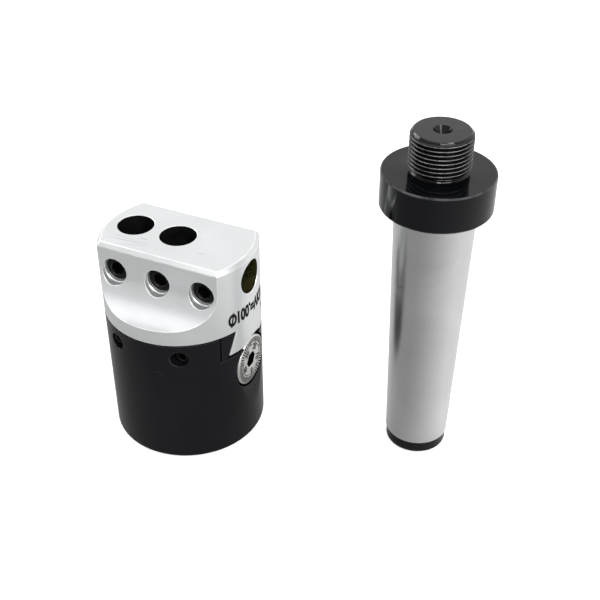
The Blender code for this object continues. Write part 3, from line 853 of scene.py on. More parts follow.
def dial_cutters():
    """The dial's pocket and the sloping flat under it."""
    pocket = rod(
        "dial_pocket", DIAL_POCKET_R, DIAL_BACK_X, HEAD_R + PAST, None, POCKET_ROUND,
        ON_FEED_AXIS,
    )
    outline = [
        (HEAD_R + PAST, RELIEF_FOOT - PAST),
        (HEAD_R + RELIEF_SLOPE * PAST, RELIEF_FOOT - PAST),
        (HEAD_R - RELIEF_SLOPE * (FEED_Z - RELIEF_FOOT), FEED_Z),
        (HEAD_R + PAST, FEED_Z),
    ]
    return [pocket, pushed("relief", outline, -HEAD_R, HEAD_R, None, XZ_OUTLINE)]


def gib_screw_cutters():
    """Holes for the gib screws, from the front through to the slideway's wall."""
    made = []
    for side in ("left", "right"):
        low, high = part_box("gib_screw_" + side)
        middle = (low + high) / 2 - HEAD_AXIS
        move = Matrix.Translation((middle.x, 0, middle.z)) @ FACING_FRONT
        radius = (high.x - low.x) / 2 + RUNNING_GAP / 2
        hole = rod("gib_hole", radius, GIB_WALL_Y - PAST, HEAD_R + PAST, None, HOLE_ROUND, move)
        made.append(hole)
    return made


body_profile = [
    (0, BODY_H),
    (HEAD_R, BODY_H),
    (HEAD_R, FOOT_BREAK),
    (HEAD_R - FOOT_BREAK, 0),
    (THREAD_R + SOCKET_MOUTH, 0),
    (THREAD_R, SOCKET_MOUTH),
    (THREAD_R, SOCKET_DEPTH),
    (0, SOCKET_DEPTH),
]
body_mesh = carve(
    turned("body_shell", body_profile, black_oxide),
    slideway_cutters() + dial_cutters() + gib_screw_cutters(),
)
add_piece(
    "body_shell", eased(body_mesh), HEAD_AXIS, "head_body", ["body"],
    barrel=HEAD_R,
)

# %% [markdown]
# The thread in the foot of the body is a sleeve: the thread tree with its crest inside its root,
# closed by a plain wall that sits just inside the metal.

# %% Thread in the foot of the body
THREAD_STEPS = 96
STUD_PITCH = 1.27 * MM
THREAD_ROWS = 16
sleeve_top = SOCKET_DEPTH - 0.5 * MM
sleeve = grown(
    thread_tree, "socket_thread", root_radius=THREAD_R, crest_radius=THREAD_ROOT_R + 0.1 * MM,
    pitch=STUD_PITCH, bottom=SOCKET_MOUTH, top=sleeve_top, run_out=0.8 * MM,
    steps=THREAD_STEPS, rows_per_turn=THREAD_ROWS, material=black_oxide,
)


def sleeve_wall(inner, thickness, bottom, top):
    """The plain wall that closes a nut's thread: out at the top, down, and in at the bottom."""
    return [(inner, top), (inner + thickness, top), (inner + thickness, bottom), (inner, bottom)]


wall = sleeve_wall(THREAD_R, 0.4 * MM, SOCKET_MOUTH, sleeve_top)
sleeve = with_ends(sleeve, [wall], THREAD_STEPS, "socket_thread", black_oxide)
add_piece(
    "socket_thread", sleeve, HEAD_AXIS, "head_body", facet=THREAD_FACET
)

# %% [markdown]
# ## The gib
# The gib is a strip that two small screws push against the dovetail to take up play. Its ends
# show as dark wedges beside the dovetail, cut to the round of the body.

# %% The gib
def gib_outline():
    """The gib's section in YZ, a slide gap clear of the walls round it."""
    top, bottom = BODY_H - SLIDE_GAP, SLOT_FLOOR + SLIDE_GAP
    gap = SLIDE_GAP / math.sin(TAIL_ANGLE)
    outer = -(GIB_WALL_Y - 4 * SLIDE_GAP)
    return [
        (outer, bottom),
        (-(tail_half_width(bottom) + gap), bottom),
        (-(tail_half_width(top) + gap), top),
        (outer, top),
    ]


gib_mesh = carve(
    pushed("gib_strip", gib_outline(), -HEAD_R - PAST, HEAD_R + PAST, black_oxide, YZ_OUTLINE),
    [rod("gib_trim", HEAD_R - SLIDE_GAP, 0, HEAD_H, None, ROUND)],
    "INTERSECT",
)
add_piece(
    "gib_strip", eased(gib_mesh, 0.1 * MM), HEAD_AXIS, "head_body", ["gib"]
)

# %% [markdown]
# ## The bar holder
# The holder starts as a disc of the body's diameter. Two flats are milled on it, and each runs
# out in a round cove that leaves a ledge. Below, the dovetail is what remains between two
# milled shoulders. Bars go in from the top or from the side, and three screws clamp them.

# %% Sizes of the bar holder
FLAT_Y = 13.8 * MM
LEDGE_Z = BODY_H + 5.5 * MM
TOP_CHAMFER = 1.2 * MM
BORE_R = 5.8 * MM
DRILL_POINT = 0.2
BORE_DEPTH = 26.0 * MM
SIDE_BORE_R = 5.5 * MM
SIDE_BORE_Z = HEAD_H - 8.0 * MM
SIDE_BORE_DEPTH = 17.0 * MM
HOLDER_POCKET_R = DIAL_R + 2.1 * MM
BAR_SCREWS = ["bar_screw_left", "bar_screw_middle", "bar_screw_right"]


def screw_centre(node):
    """A screw's middle, from the head's axis."""
    low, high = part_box(node)
    return (low + high) / 2 - HEAD_AXIS


BORE_XS = [screw_centre(BAR_SCREWS[0]).x, screw_centre(BAR_SCREWS[1]).x]
print("bores at x =", [round(x / MM, 2) for x in BORE_XS], "mm")


# %% Cutters of the bar holder
def flat_cutter(side):
    """Everything outside one flat: chamfer, flat, and the cove that runs out at the ledge."""
    cove_r = HEAD_R - FLAT_Y
    outline = [(FLAT_Y - TOP_CHAMFER - PAST, HEAD_H + PAST), (FLAT_Y, HEAD_H - TOP_CHAMFER)]
    outline += arc(HEAD_R, LEDGE_Z + cove_r, cove_r, math.pi, 1.5 * math.pi)
    outline += [(HEAD_R + PAST, LEDGE_Z), (HEAD_R + PAST, HEAD_H + PAST)]
    outline = [(side * y, z) for y, z in outline]
    return pushed("flat", outline, -HEAD_R - PAST, HEAD_R + PAST, None, YZ_OUTLINE)


def shoulder_cutter(side):
    """Everything beside the dovetail, below the slideway."""
    top, bottom = BODY_H + 0.3 * MM, TAIL_Z - PAST
    outline = [
        (tail_half_width(top), top),
        (HEAD_R + PAST, top),
        (HEAD_R + PAST, bottom),
        (tail_half_width(bottom), bottom),
    ]
    outline = [(side * y, z) for y, z in outline]
    return pushed("shoulder", outline, -HEAD_R - PAST, HEAD_R + PAST, None, YZ_OUTLINE)


def bore_cutter(x, z, depth, radius, metal, turn):
    """A bore whose mouth is at (x, 0, z), with the shallow cone that a drill leaves."""
    hole = [(0, PAST), (radius, PAST), (radius, -depth), (0, -depth - radius * DRILL_POINT)]
    return turned("bore", hole, metal, BORE_ROUND, Matrix.Translation((x, 0, z)) @ turn)


def screw_hole_cutter(node):
    """The hole for a clamp screw, from the flat through to the bore."""
    low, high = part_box(node)
    centre = screw_centre(node)
    radius = (high.x - low.x) / 2 + RUNNING_GAP
    move = Matrix.Translation((centre.x, 0, centre.z)) @ FACING_FRONT
    return rod("screw_hole", radius, 0, HEAD_R + PAST, satin_plate, HOLE_ROUND, move)


# %% The bar holder
holder_profile = [
    (0, HEAD_H),
    (HEAD_R - TOP_CHAMFER, HEAD_H),
    (HEAD_R, HEAD_H - TOP_CHAMFER),
    (HEAD_R, TAIL_Z),
    (0, TAIL_Z),
]
holder_cutters = [
    *(flat_cutter(side) for side in (-1, 1)),
    *(shoulder_cutter(side) for side in (-1, 1)),
    rod(
        "dial_clearance", HOLDER_POCKET_R, DIAL_BACK_X, HEAD_R + PAST, None, POCKET_ROUND,
        ON_FEED_AXIS,
    ),
    *(bore_cutter(x, HEAD_H, BORE_DEPTH, BORE_R, bore_steel, Matrix.Identity(4)) for x in BORE_XS),
    bore_cutter(HEAD_R, SIDE_BORE_Z, SIDE_BORE_DEPTH, SIDE_BORE_R, side_bore_steel, ALONG_X),
    *(screw_hole_cutter(node) for node in BAR_SCREWS),
]
holder_mesh = carve(turned("holder_block", holder_profile, satin_plate), holder_cutters)
add_piece(
    "holder_block", eased(holder_mesh), HEAD_AXIS, "holder", ["bar_holder"],
    barrel=HEAD_R,
)

# %% [markdown]
# ## Threads in the clamp-screw holes
# Each clamp screw sits a little below the flat, so the first turn of the hole's own thread shows
# as a bright crescent. These sleeves come from the thread tree too.

# %% Threads in the clamp-screw holes
CLAMP_PITCH = 1.25 * MM
SCREW_STEPS = 48
HOLE_ROOT_GAP = 0.28 * MM
HOLE_CREST_GAP = 0.04 * MM
HOLE_MOUTH = 0.35 * MM


def hole_thread(node):
    """The thread of one clamp-screw hole, closed by a plain wall inside the metal."""
    low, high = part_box(node)
    centre = screw_centre(node)
    screw_r = (high.x - low.x) / 2
    root = screw_r + HOLE_ROOT_GAP
    outer = FLAT_Y - HOLE_MOUTH
    inner = -(high.y - HEAD_AXIS.y)
    sheet = grown(
        thread_tree, "hole_thread", root_radius=root, crest_radius=screw_r + HOLE_CREST_GAP,
        pitch=CLAMP_PITCH, bottom=inner, top=outer, run_out=0.3 * MM, steps=SCREW_STEPS,
        rows_per_turn=THREAD_ROWS, material=satin_plate,
    )
    wall = sleeve_wall(root, 0.5 * MM, inner, outer)
    mesh = with_ends(sheet, [wall], SCREW_STEPS, "hole_thread", satin_plate)
    mesh.transform(Matrix.Translation((centre.x, 0, centre.z)) @ FACING_FRONT)
    return mesh


for node in BAR_SCREWS:
    thread_name = node.replace("bar_screw", "clamp_hole_thread")
    add_piece(
        thread_name, hole_thread(node), HEAD_AXIS, "holder", facet=THREAD_FACET
    )

# %% [markdown]
# ## Socket set screws, with Geometry Nodes
# The five headless screws differ only in size. One tree makes them all: the thread tree inside
# it, a disc on each end, and a six-sided socket cut from the outer end.

# %% The set screw tree
screw_tree, sockets, result = new_group(
    "set_screw",
    "GeometryNodeTree",
    {
        "Radius": (FLOAT, 4 * MM),
        "Length": (FLOAT, 6 * MM),
        "Pitch": (FLOAT, 1.25 * MM),
        "Thread depth": (FLOAT, 0.5 * MM),
        "Key": (FLOAT, 4 * MM),
        "Socket depth": (FLOAT, 2.8 * MM),
        "Steps": (INTEGER, SCREW_STEPS),
        "Material": (MATERIAL, None),
    },
    {"Mesh": GEOMETRY},
)
t = screw_tree
root = calc(t, "SUBTRACT", sockets["Radius"], sockets["Thread depth"])
bottom = calc(t, "MULTIPLY", sockets["Length"], -1.0)
wall = add(
    t,
    "GeometryNodeGroup",
    {
        "Root radius": root,
        "Crest radius": sockets["Radius"],
        "Pitch": sockets["Pitch"],
        "Bottom": bottom,
        "Top": 0.0,
        "Run-out": sockets["Thread depth"],
        "Steps": sockets["Steps"],
        "Rows per turn": THREAD_ROWS,
    },
    node_tree=thread_tree,
)
disc = add(
    t,
    "GeometryNodeMeshCircle",
    {"Vertices": sockets["Steps"], "Radius": root},
    fill_type="NGON",
)
low_place = add(t, "ShaderNodeCombineXYZ", {2: bottom})
low_disc = add(
    t,
    "GeometryNodeTransform",
    {
        "Geometry": add(t, "GeometryNodeFlipFaces", {0: disc.outputs[0]}).outputs[0],
        "Translation": low_place.outputs[0],
    },
)
joined = add(t, "GeometryNodeJoinGeometry")
for part in (wall.outputs[0], disc.outputs[0], low_disc.outputs[0]):
    t.links.new(part, joined.inputs[0])
blank = add(
    t, "GeometryNodeMergeByDistance", {"Geometry": joined.outputs[0], "Distance": RING_WELD}
)
hexagon = add(
    t,
    "GeometryNodeMeshCylinder",
    {
        "Vertices": 6,
        "Radius": calc(t, "DIVIDE", sockets["Key"], math.sqrt(3)),
        "Depth": calc(t, "MULTIPLY", sockets["Socket depth"], 2.0),
    },
)
cut = add(
    t,
    "GeometryNodeMeshBoolean",
    {"Mesh 1": blank.outputs[0], "Mesh 2": hexagon.outputs[0]},
    operation="DIFFERENCE",
    solver="EXACT",
)
end_tree(t, cut.outputs[0], sockets["Material"], result)


# %% The five set screws
THREAD_DEPTH_SHARE = 0.4
SOCKET_DEPTH_SHARE = 0.45
WITHIN_KEY = 0.6
ON_FACE = 0.001 * MM
MOUTH_EASE = 0.18 * MM
SQUARE_EDGE = math.radians(60)


def set_screw(node, pitch, key, body, turned_by):
    """One screw in the place of its node, socket outwards, eased at the socket's mouth."""
    low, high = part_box(node)
    centre = screw_centre(node)
    length = high.y - low.y
    mesh = grown(
        screw_tree, node, radius=(high.x - low.x) / 2, length=length, pitch=pitch,
        thread_depth=THREAD_DEPTH_SHARE * pitch, key=key,
        socket_depth=SOCKET_DEPTH_SHARE * length, steps=SCREW_STEPS, material=screw_black,
    )
    shape = bmesh.new()
    shape.from_mesh(mesh)
    mark = shape.faces.layers.float.new(EASED_MARK)
    mouth = [
        e for e in shape.edges
        if e.is_manifold and e.calc_face_angle(0) > SQUARE_EDGE
        and all(abs(v.co.z) < ON_FACE and v.co.xy.length < key * WITHIN_KEY for v in e.verts)
    ]
    band = bmesh.ops.bevel(
        shape, geom=mouth, offset=MOUTH_EASE, offset_type="OFFSET", segments=1, affect="EDGES"
    )
    for face in band["faces"]:
        face[mark] = 1.0
    shape.to_mesh(mesh)
    shape.free()
    mesh.transform(
        Matrix.Translation((centre.x, low.y - HEAD_AXIS.y, centre.z))
        @ FACING_FRONT @ Matrix.Rotation(math.radians(turned_by), 4, "Z")
    )
    add_piece(node.replace("screw", "set_screw"), mesh, HEAD_AXIS, body, [node])


for node, turned_by in zip(BAR_SCREWS, (10, 34, 22)):
    side = node.replace("bar_screw_", "")
    set_screw(node, CLAMP_PITCH, 4.0 * MM, "bar_clamp_" + side, turned_by)
for side, turned_by in (("left", 5), ("right", 41)):
    set_screw("gib_screw_" + side, 0.8 * MM, 2.5 * MM, "gib_press_" + side, turned_by)

# %% [markdown]
# ## The feed screw and its dial
# Dial, journal, neck and screw are one turned piece. The dial stays where it is and the holder
# is drawn along the screw, so the screw needs its real thread where the nut well opens.

# %% The feed screw and its dial
FEED_KEY = 5.0 * MM
FEED_KEY_DEPTH = 4.0 * MM
FEED_PITCH = 0.635 * MM
JOURNAL_LENGTH = 2.5 * MM
NECK_LENGTH = 2.0 * MM
NECK_R = 2.8 * MM


def along_feed(mesh):
    """Turns a mesh drawn about Z onto the feed axis, its top at the dial's face."""
    mesh.transform(Matrix.Translation((DIAL_FACE_X, 0, FEED_Z)) @ ALONG_X)
    return mesh


thread_top = -(DIAL_THICKNESS + JOURNAL_LENGTH + NECK_LENGTH)
neck_end = thread_top - 0.2 * MM
thread_bottom = FEED_TAIL_X - DIAL_FACE_X
dial_profile = [
    (0, 0),
    (DIAL_R - 0.4 * MM, 0),
    (DIAL_R, -0.4 * MM),
    (DIAL_R, -DIAL_THICKNESS),
    (FEED_SCREW_R, -DIAL_THICKNESS),
    (FEED_SCREW_R, thread_top + NECK_LENGTH),
    (NECK_R, thread_top + NECK_LENGTH),
    (NECK_R, neck_end),
    (0, neck_end),
]
hex_r = FEED_KEY / math.sqrt(3)
hexagon_outline = arc(0, 0, hex_r, math.pi / 6, math.pi / 6 + 5 * math.pi / 3, 5)
# The hex socket's faces take the black screw finish: painted shade in the recess.
dial_mesh = carve(
    turned("dial", dial_profile, dial_steel),
    [pushed("dial_socket", hexagon_outline, -FEED_KEY_DEPTH, PAST, screw_black)],
)
add_piece(
    "feed_dial", along_feed(eased(dial_mesh, 0.15 * MM)), HEAD_AXIS, "feed",
    ["feed_screw"],
)
feed_root = FEED_SCREW_R - 0.35 * MM
feed_sheet = grown(
    thread_tree, "feed_thread", root_radius=feed_root, crest_radius=FEED_SCREW_R,
    pitch=FEED_PITCH, bottom=thread_bottom, top=thread_top, run_out=0.4 * MM, flat_share=0.25,
    steps=SCREW_STEPS, rows_per_turn=8, material=key_steel,
)
feed_ends = [[(feed_root, z), (0, z)] for z in (thread_top, thread_bottom)]
feed_thread = with_ends(feed_sheet, feed_ends, SCREW_STEPS, "feed_thread", key_steel)
add_piece(
    "feed_thread", along_feed(feed_thread), HEAD_AXIS, "feed", facet=THREAD_FACET
)

# %% [markdown]
# ## Graduations, with Geometry Nodes
# One turn of the dial is fifty divisions. A tree lays out the strokes: it instances one thin bar
# on fifty points round a circle, and makes every fifth one longer by its index.

# %% The graduation tree
marks_tree, sockets, result = new_group(
    "graduations",
    "GeometryNodeTree",
    {
        "Count": (INTEGER, 50),
        "Outer radius": (FLOAT, 7.9 * MM),
        "Short length": (FLOAT, 1.6 * MM),
        "Long length": (FLOAT, 2.4 * MM),
        "Long every": (INTEGER, 5),
        "Width": (FLOAT, 0.2 * MM),
        "Thickness": (FLOAT, 0.05 * MM),
        "Material": (MATERIAL, None),
    },
    {"Mesh": GEOMETRY},
)
t = marks_tree
index = add(t, "GeometryNodeInputIndex").outputs[0]
turn = calc(t, "MULTIPLY", calc(t, "DIVIDE", index, sockets["Count"]), 2 * math.pi)
is_long = calc(t, "LESS_THAN", calc(t, "MODULO", index, sockets["Long every"]), 0.5)
extra = calc(t, "SUBTRACT", sockets["Long length"], sockets["Short length"])
stroke_length = calc(t, "MULTIPLY_ADD", is_long, extra, sockets["Short length"])
stroke_centre = calc(
    t, "SUBTRACT", sockets["Outer radius"], calc(t, "MULTIPLY", stroke_length, 0.5)
)
stroke_place = add(
    t,
    "ShaderNodeCombineXYZ",
    {
        0: calc(t, "MULTIPLY", stroke_centre, calc(t, "COSINE", turn)),
        1: calc(t, "MULTIPLY", stroke_centre, calc(t, "SINE", turn)),
    },
)
line = add(t, "GeometryNodeMeshLine", {"Count": sockets["Count"]})
ring = add(
    t, "GeometryNodeSetPosition",
    {"Geometry": line.outputs[0], "Position": stroke_place.outputs[0]},
)
bar_size = add(
    t, "ShaderNodeCombineXYZ", {0: 1.0, 1: sockets["Width"], 2: sockets["Thickness"]}
)
bar = add(t, "GeometryNodeMeshCube", {"Size": bar_size.outputs[0]})
strokes = add(
    t,
    "GeometryNodeInstanceOnPoints",
    {
        "Points": ring.outputs[0],
        "Instance": bar.outputs[0],
        "Rotation": add(t, "ShaderNodeCombineXYZ", {2: turn}).outputs[0],
        "Scale": add(t, "ShaderNodeCombineXYZ", {0: stroke_length, 1: 1.0, 2: 1.0}).outputs[0],
    },
)
end_tree(t, strokes.outputs[0], sockets["Material"], result)

# %% Graduations and their base ring
MARK_THICKNESS = 0.05 * MM

marks_mesh = grown(
    marks_tree, "dial_graduations", count=50, outer_radius=7.95 * MM, short_length=1.8 * MM,
    long_length=2.5 * MM, long_every=5, width=0.48 * MM, thickness=MARK_THICKNESS,
    material=marking_ink,
)
add_piece("dial_graduations", along_feed(marks_mesh), HEAD_AXIS, "feed")

RING_R = 5.35 * MM
RING_WIDTH = 0.22 * MM
ring_half = MARK_THICKNESS / 2
ring_profile = [
    (RING_R, ring_half),
    (RING_R + RING_WIDTH, ring_half),
    (RING_R + RING_WIDTH, -ring_half),
    (RING_R, -ring_half),
    (RING_R, ring_half),
]
ring_mesh = turned("dial_ring", ring_profile, marking_ink, 96)
add_piece("dial_ring", along_feed(ring_mesh), HEAD_AXIS, "feed")


# %% [markdown]
# ## Figures
# The dial is numbered in tens, and the holder carries the plain legend that says what one
# division is worth. Text starts as a flat curve, is made a mesh, and only then goes to its place.

# %% Figures on the dial
FIGURE_SIZE = 2.6 * MM
FIGURE_WEIGHT = 0.09 * MM
FIGURE_R = 4.25 * MM
LETTER_WELD = 0.0005 * MM


def text_mesh(words, size, weight, thickness):
    """Centred flat lettering as a closed mesh in XY."""
    font_curve = bpy.data.curves.new("words", "FONT")
    font_curve.body = words
    font_curve.size = size
    font_curve.offset = weight
    font_curve.extrude = thickness / 2
    font_curve.align_x = "CENTER"
    font_curve.align_y = "CENTER"
    font_curve.resolution_u = 4
    drawn = bpy.data.objects.new("words", font_curve)
    SCENE.collection.objects.link(drawn)
    graph = bpy.context.evaluated_depsgraph_get()
    mesh = bpy.data.meshes.new_from_object(drawn.evaluated_get(graph))
    bpy.data.objects.remove(drawn, do_unlink=True)
    shape = bmesh.new()
    shape.from_mesh(mesh)
    bmesh.ops.remove_doubles(shape, verts=shape.verts, dist=LETTER_WELD)
    return mesh_from(shape, "words", marking_ink)


def dial_figures():
    """0, 10, 20, 30 and 40 round the dial, their feet to the centre."""
    shape = bmesh.new()
    for i in range(5):
        figure = text_mesh(str(10 * i), FIGURE_SIZE, FIGURE_WEIGHT, MARK_THICKNESS)
        turn = 2 * math.pi * i / 5
        figure.transform(
            Matrix.Rotation(turn, 4, "Z")
            @ Matrix.Translation((FIGURE_R, 0, 0))
            @ Matrix.Rotation(-math.pi / 2, 4, "Z")
        )
        shape.from_mesh(figure)
    return mesh_from(shape, "dial_figures", marking_ink)


add_piece("dial_figures", along_feed(dial_figures()), HEAD_AXIS, "feed")

# %% [markdown]
# The legend is laid out flat like the figures, squeezed to its width and then bent round the
# holder. Its diameter sign is a ring with a slash, because bold type fills its own sign in.

# %% The legend on the holder
LEGEND_Z = 51.3 * MM
LEGEND_WIDEN = 0.70
LEGEND_SHIFT = 1.2 * MM
LEGEND_SIZE = 5.8 * MM
LEGEND_THICKNESS = 0.08 * MM
LETTER_GAP = 0.55 * MM


def legend_letters():
    """The words, then the diameter sign: a ring and a slightly taller, thinner slash."""
    words = text_mesh("1DIV=.001", LEGEND_SIZE, 0.30 * MM, LEGEND_THICKNESS)
    ring = text_mesh("O", LEGEND_SIZE, 0.28 * MM, LEGEND_THICKNESS)
    slash = text_mesh("/", 1.15 * LEGEND_SIZE, 0.20 * MM, 0.8 * LEGEND_THICKNESS)
    words_end = max(v.co.x for v in words.vertices)
    ring_end = max(v.co.x for v in ring.vertices)
    sign_x = words_end + LETTER_GAP + ring_end
    shape = bmesh.new()
    for letters, x in ((words, 0.0), (ring, sign_x), (slash, sign_x)):
        letters.transform(Matrix.Translation((x - (LETTER_GAP / 2 + ring_end), 0, 0)))
        shape.from_mesh(letters)
    return mesh_from(shape, "division_legend", marking_ink)


def legend():
    """The legend wrapped on the holder, upside down because the head stands on its foot."""
    mesh = legend_letters()
    for vertex in mesh.vertices:
        turn = -(vertex.co.x * LEGEND_WIDEN + LEGEND_SHIFT) / HEAD_R
        radius = HEAD_R + vertex.co.z
        z = LEGEND_Z - vertex.co.y
        vertex.co = (radius * math.cos(turn), radius * math.sin(turn), z)
    return mesh


add_piece("division_legend", legend(), HEAD_AXIS, "holder")

# %% [markdown]
# ## The arbor
# The taper is ground, the flange and the stud are blacked, and so is the small end. Each zone is
# its own turned solid, because each has its own finish, and they meet on flat shoulders.

# %% Sizes of the arbor
TAPER_SLOPE = 0.0251
STUD_LENGTH = 12.5 * MM
FLANGE_HEIGHT = 11.1 * MM
SHANK_TOP = ARBOR_H - STUD_LENGTH - FLANGE_HEIGHT
FLANGE_TOP = ARBOR_H - STUD_LENGTH
BLACK_END = 4.6 * MM
TAPER_FOOT_R = 9.879 * MM
DRAWBAR_R = 5.1 * MM
DRAWBAR_DEPTH = 26.0 * MM
STUD_FOOT = FLANGE_TOP + 1.0 * MM
STUD_BREAK = 0.8 * MM
STUD_RIM = 0.2 * MM
STUD_START = STUD_FOOT - 0.2 * MM
STUD_FILLET = 0.9 * MM
END_BREAK = 0.8 * MM
CENTRE_R = 2.7 * MM
PILOT_R = 1.25 * MM


def taper_r(z):
    """The taper's radius at height z."""
    return TAPER_FOOT_R + TAPER_SLOPE * z


# %% Taper, small end and flange
taper_profile = [
    (0, SHANK_TOP + 0.5 * MM),
    (taper_r(SHANK_TOP), SHANK_TOP + 0.5 * MM),
    (taper_r(BLACK_END), BLACK_END),
    (DRAWBAR_R, BLACK_END),
    (DRAWBAR_R, DRAWBAR_DEPTH),
    (0, DRAWBAR_DEPTH + DRAWBAR_R / math.sqrt(3)),
]
taper_mesh = turned("ground_taper", taper_profile, ground_taper, ARBOR_ROUND)
taper_mesh = eased(taper_mesh, 0.15 * MM)
add_piece("taper_shank", taper_mesh, ARBOR_AXIS, "taper_arbor", ["arbor"])

end_r = taper_r(0) - 0.2 * MM
end_top = BLACK_END - 0.02 * MM
end_profile = [
    (DRAWBAR_R, end_top),
    (end_r, end_top),
    (end_r, END_BREAK),
    (end_r - END_BREAK, 0),
    (DRAWBAR_R + END_BREAK, 0),
    (DRAWBAR_R, END_BREAK),
    (DRAWBAR_R, end_top),
]
end_mesh = eased(turned("small_end", end_profile, black_oxide, ARBOR_ROUND), 0.1 * MM)
add_piece("small_end", end_mesh, ARBOR_AXIS, "taper_arbor", ["arbor"])

root_r = THREAD_ROOT_R - 0.3 * MM
flange_profile = [(0, STUD_FOOT + PAST), (root_r, STUD_FOOT + PAST)]
flange_profile += arc(
    root_r + STUD_FILLET, FLANGE_TOP + STUD_FILLET, STUD_FILLET, math.pi, 1.5 * math.pi, 6
)
flange_profile += [
    (FLANGE_R, FLANGE_TOP),
    (FLANGE_R, SHANK_TOP),
    (taper_r(SHANK_TOP) - 0.3 * MM, SHANK_TOP),
    (0, SHANK_TOP),
]
flange_mesh = turned("arbor_flange", flange_profile, black_gloss, ARBOR_ROUND)
flange_mesh = eased(flange_mesh, 0.45 * MM)
add_piece("arbor_flange", flange_mesh, ARBOR_AXIS, "taper_arbor", ["arbor"])

# %% [markdown]
# The stud is the thread tree again. Its top is faced off and carries the small cone that the
# lathe's centre ran in.

# %% The threaded stud
stud_sheet = grown(
    thread_tree, "threaded_stud", root_radius=THREAD_ROOT_R, crest_radius=THREAD_R,
    pitch=STUD_PITCH, bottom=STUD_START, top=ARBOR_H - STUD_RIM, run_out=STUD_BREAK,
    steps=THREAD_STEPS, rows_per_turn=THREAD_ROWS, material=thread_black,
)
stud_ends = [
    [
        (THREAD_ROOT_R, ARBOR_H - STUD_RIM),
        (THREAD_ROOT_R - STUD_RIM, ARBOR_H),
        (CENTRE_R, ARBOR_H),
        (PILOT_R, ARBOR_H - (CENTRE_R - PILOT_R) * math.sqrt(3)),
        (PILOT_R, ARBOR_H - 5.0 * MM),
        (0, ARBOR_H - 6.0 * MM),
    ],
    [(THREAD_ROOT_R, STUD_START), (0, STUD_START)],
]
CREST_BAND = 0.05 * MM


def crest_wear_and_highlight(mesh, radius):
    """Marks a thread's crests as eased: the film rubs off there, and the bright worn colour also
    paints a highlight line along them.
    """
    mark = mesh.attributes.new(EASED_MARK, "FLOAT", "FACE")
    for face, value in zip(mesh.polygons, mark.data):
        value.value = float(face.center.xy.length > radius - CREST_BAND)
    return mesh


stud_mesh = with_ends(stud_sheet, stud_ends, THREAD_STEPS, "threaded_stud", thread_black)
# The crests get the bright worn colour: rubbed film and a painted highlight line.
crest_wear_and_highlight(stud_mesh, THREAD_R)
add_piece(
    "threaded_stud", stud_mesh, ARBOR_AXIS, "taper_arbor", ["arbor"],
    THREAD_FACET,
)

# %% [markdown]
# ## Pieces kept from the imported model
# The nut and the retainer key hide inside the body, and their shape is already right. They keep
# their meshes and only get their finish.

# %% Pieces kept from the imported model
for node, finish in (("feed_nut", nut_brass), ("retainer_key", key_steel)):
    kept_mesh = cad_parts[node].data
    kept_mesh.materials.clear()
    kept_mesh.materials.append(finish)
    print(node, "keeps its shape, finish", finish.name)

# %% [markdown]
# ## Studio
# Bright metal shows what stands round it, so the room is part of the finish. The floor and the
# air are white to the eye, and light matt surfaces evenly. To a reflection, one side of the room
# is a soft grey, as an unlit room would be, and overhead is brighter still. That is what gives
# the flats and cylinders shape. Both greys follow the room, never the camera.

# %% Floor
ROOM_SIDE = Vector((-0.54, -0.84, 0.0))
ROOM_BRIGHT_TO, ROOM_DARK_FROM = -0.65, 1.0
FLOOR_BRIGHT, FLOOR_DARK = 0.92, 0.34
AIR_BRIGHT, AIR_DARK, AIR_OVERHEAD = 1.0, 0.55, 1.25
OVERHEAD_FROM, OVERHEAD_TO = 0.62, 0.88
AIR_LIGHT, AIR_SEEN = 0.85, 1.0
FLOOR_SIZE = 6.0
FLOOR_THICKNESS = 0.02


def room_grey(tree, place, bright, dark):
    """A grey that falls from bright to dark towards the unlit side of the room."""
    flat = vector_calc(tree, "MULTIPLY", place, (1, 1, 0)).outputs[0]
    way = add(tree, "ShaderNodeVectorMath", {0: flat}, operation="NORMALIZE").outputs[0]
    facing = vector_calc(tree, "DOT_PRODUCT", way, ROOM_SIDE)
    return add(
        tree,
        "ShaderNodeMapRange",
        {
            "Value": facing.outputs["Value"],
            "From Min": ROOM_BRIGHT_TO,
            "From Max": ROOM_DARK_FROM,
            "To Min": bright,
            "To Max": dark,
        },
    ).outputs[0]


floor_material = bpy.data.materials.new("white_sweep")
floor_material.use_nodes = True
tree = floor_material.node_tree
matt = tree.nodes["Principled BSDF"]
matt.inputs["Base Color"].default_value = (0.93, 0.93, 0.93, 1)
matt.inputs["Roughness"].default_value = 0.9
matt.inputs["Specular IOR Level"].default_value = 0.0
matt.inputs["Emission Color"].default_value = (1, 1, 1, 1)
matt.inputs["Emission Strength"].default_value = 0.35
from_arbor = vector_calc(tree, "SUBTRACT", own_place(tree), ARBOR_AXIS).outputs[0]
floor_grey = room_grey(tree, from_arbor, FLOOR_BRIGHT, FLOOR_DARK)
seen_in_metal = add(tree, "ShaderNodeEmission", {"Strength": floor_grey})
chosen = add(
    tree,
    "ShaderNodeMixShader",
    {
        0: add(tree, "ShaderNodeLightPath").outputs["Is Glossy Ray"],
        1: matt.outputs[0],
        2: seen_in_metal.outputs[0],
    },
)
tree.links.new(chosen.outputs[0], tree.nodes["Material Output"].inputs["Surface"])

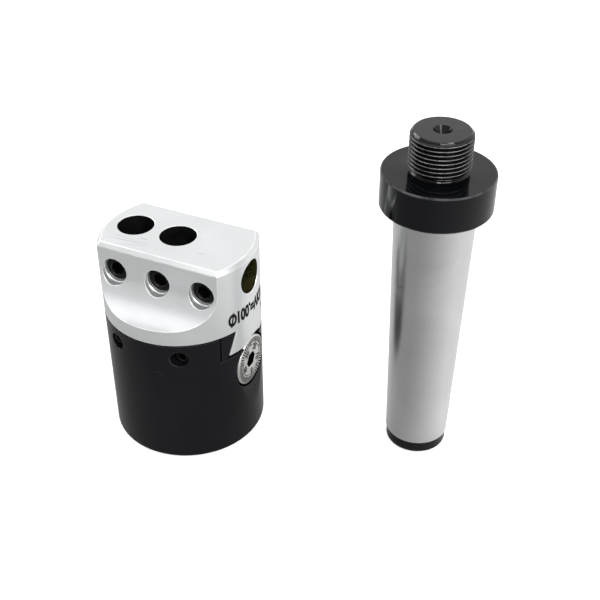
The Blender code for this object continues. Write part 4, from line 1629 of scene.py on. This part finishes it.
floor_corners = [(x * FLOOR_SIZE, y * FLOOR_SIZE) for x, y in ((-1, -1), (1, -1), (1, 1), (-1, 1))]
floor_mesh = pushed("floor", floor_corners, -FLOOR_THICKNESS, 0.0, floor_material)
floor = bpy.data.objects.new("floor", floor_mesh)
SCENE.collection.objects.link(floor)
print("floor", FLOOR_SIZE * 2, "m wide")

# %% [markdown]
# The air is the world's background. Light Path tells its three uses apart: seen by the camera,
# seen in a reflection, or lighting the rest.

# %% The air
world = bpy.data.worlds.new("studio")
SCENE.world = world
world.use_nodes = True
tree = world.node_tree
sky_place = add(tree, "ShaderNodeTexCoord").outputs["Generated"]
air = tree.nodes["Background"]
air.inputs["Color"].default_value = (1, 1, 1, 1)
low_air = room_grey(tree, sky_place, AIR_BRIGHT, AIR_DARK)
height = add(tree, "ShaderNodeSeparateXYZ", {0: sky_place}).outputs[2]
overhead = add(
    tree,
    "ShaderNodeMapRange",
    {"Value": height, "From Min": OVERHEAD_FROM, "From Max": OVERHEAD_TO},
    interpolation_type="SMOOTHSTEP",
).outputs[0]
ray = add(tree, "ShaderNodeLightPath").outputs
in_metal = mixed_number(tree, overhead, low_air, AIR_OVERHEAD)
seen_or_lit = mixed_number(tree, ray["Is Camera Ray"], AIR_LIGHT, AIR_SEEN)
strength = mixed_number(tree, ray["Is Glossy Ray"], seen_or_lit, in_metal)
tree.links.new(strength, air.inputs["Strength"])
print("air:", world.name, "with", len(tree.nodes), "nodes")

# %% [markdown]
# Three soft boxes finish the room. The key is the strongest: large, above and to the right. A
# weaker one stands on the left, for the far edges, and a small one in front adds small highlights.

# %% Soft boxes
AIM_HEIGHT = 0.04


def soft_box(name, place, size, power):
    """A square area light that looks at the middle of the pair."""
    data = bpy.data.lights.new(name, "AREA")
    data.size = size
    data.energy = power
    light = bpy.data.objects.new(name, data)
    light.location = place
    aim = Vector((0, 0, AIM_HEIGHT)) - Vector(place)
    light.rotation_euler = aim.to_track_quat("-Z", "Y").to_euler()
    SCENE.collection.objects.link(light)


soft_box("key_box", (0.55, -0.35, 0.75), 0.45, 5.0)
soft_box("edge_box", (-0.7, 0.15, 0.45), 0.4, 2.5)
soft_box("front_box", (0.21, -0.44, 0.63), 0.16, 1.6)
SCENE.view_settings.view_transform = "Standard"
print("soft boxes:", [light.name for light in bpy.data.lights])
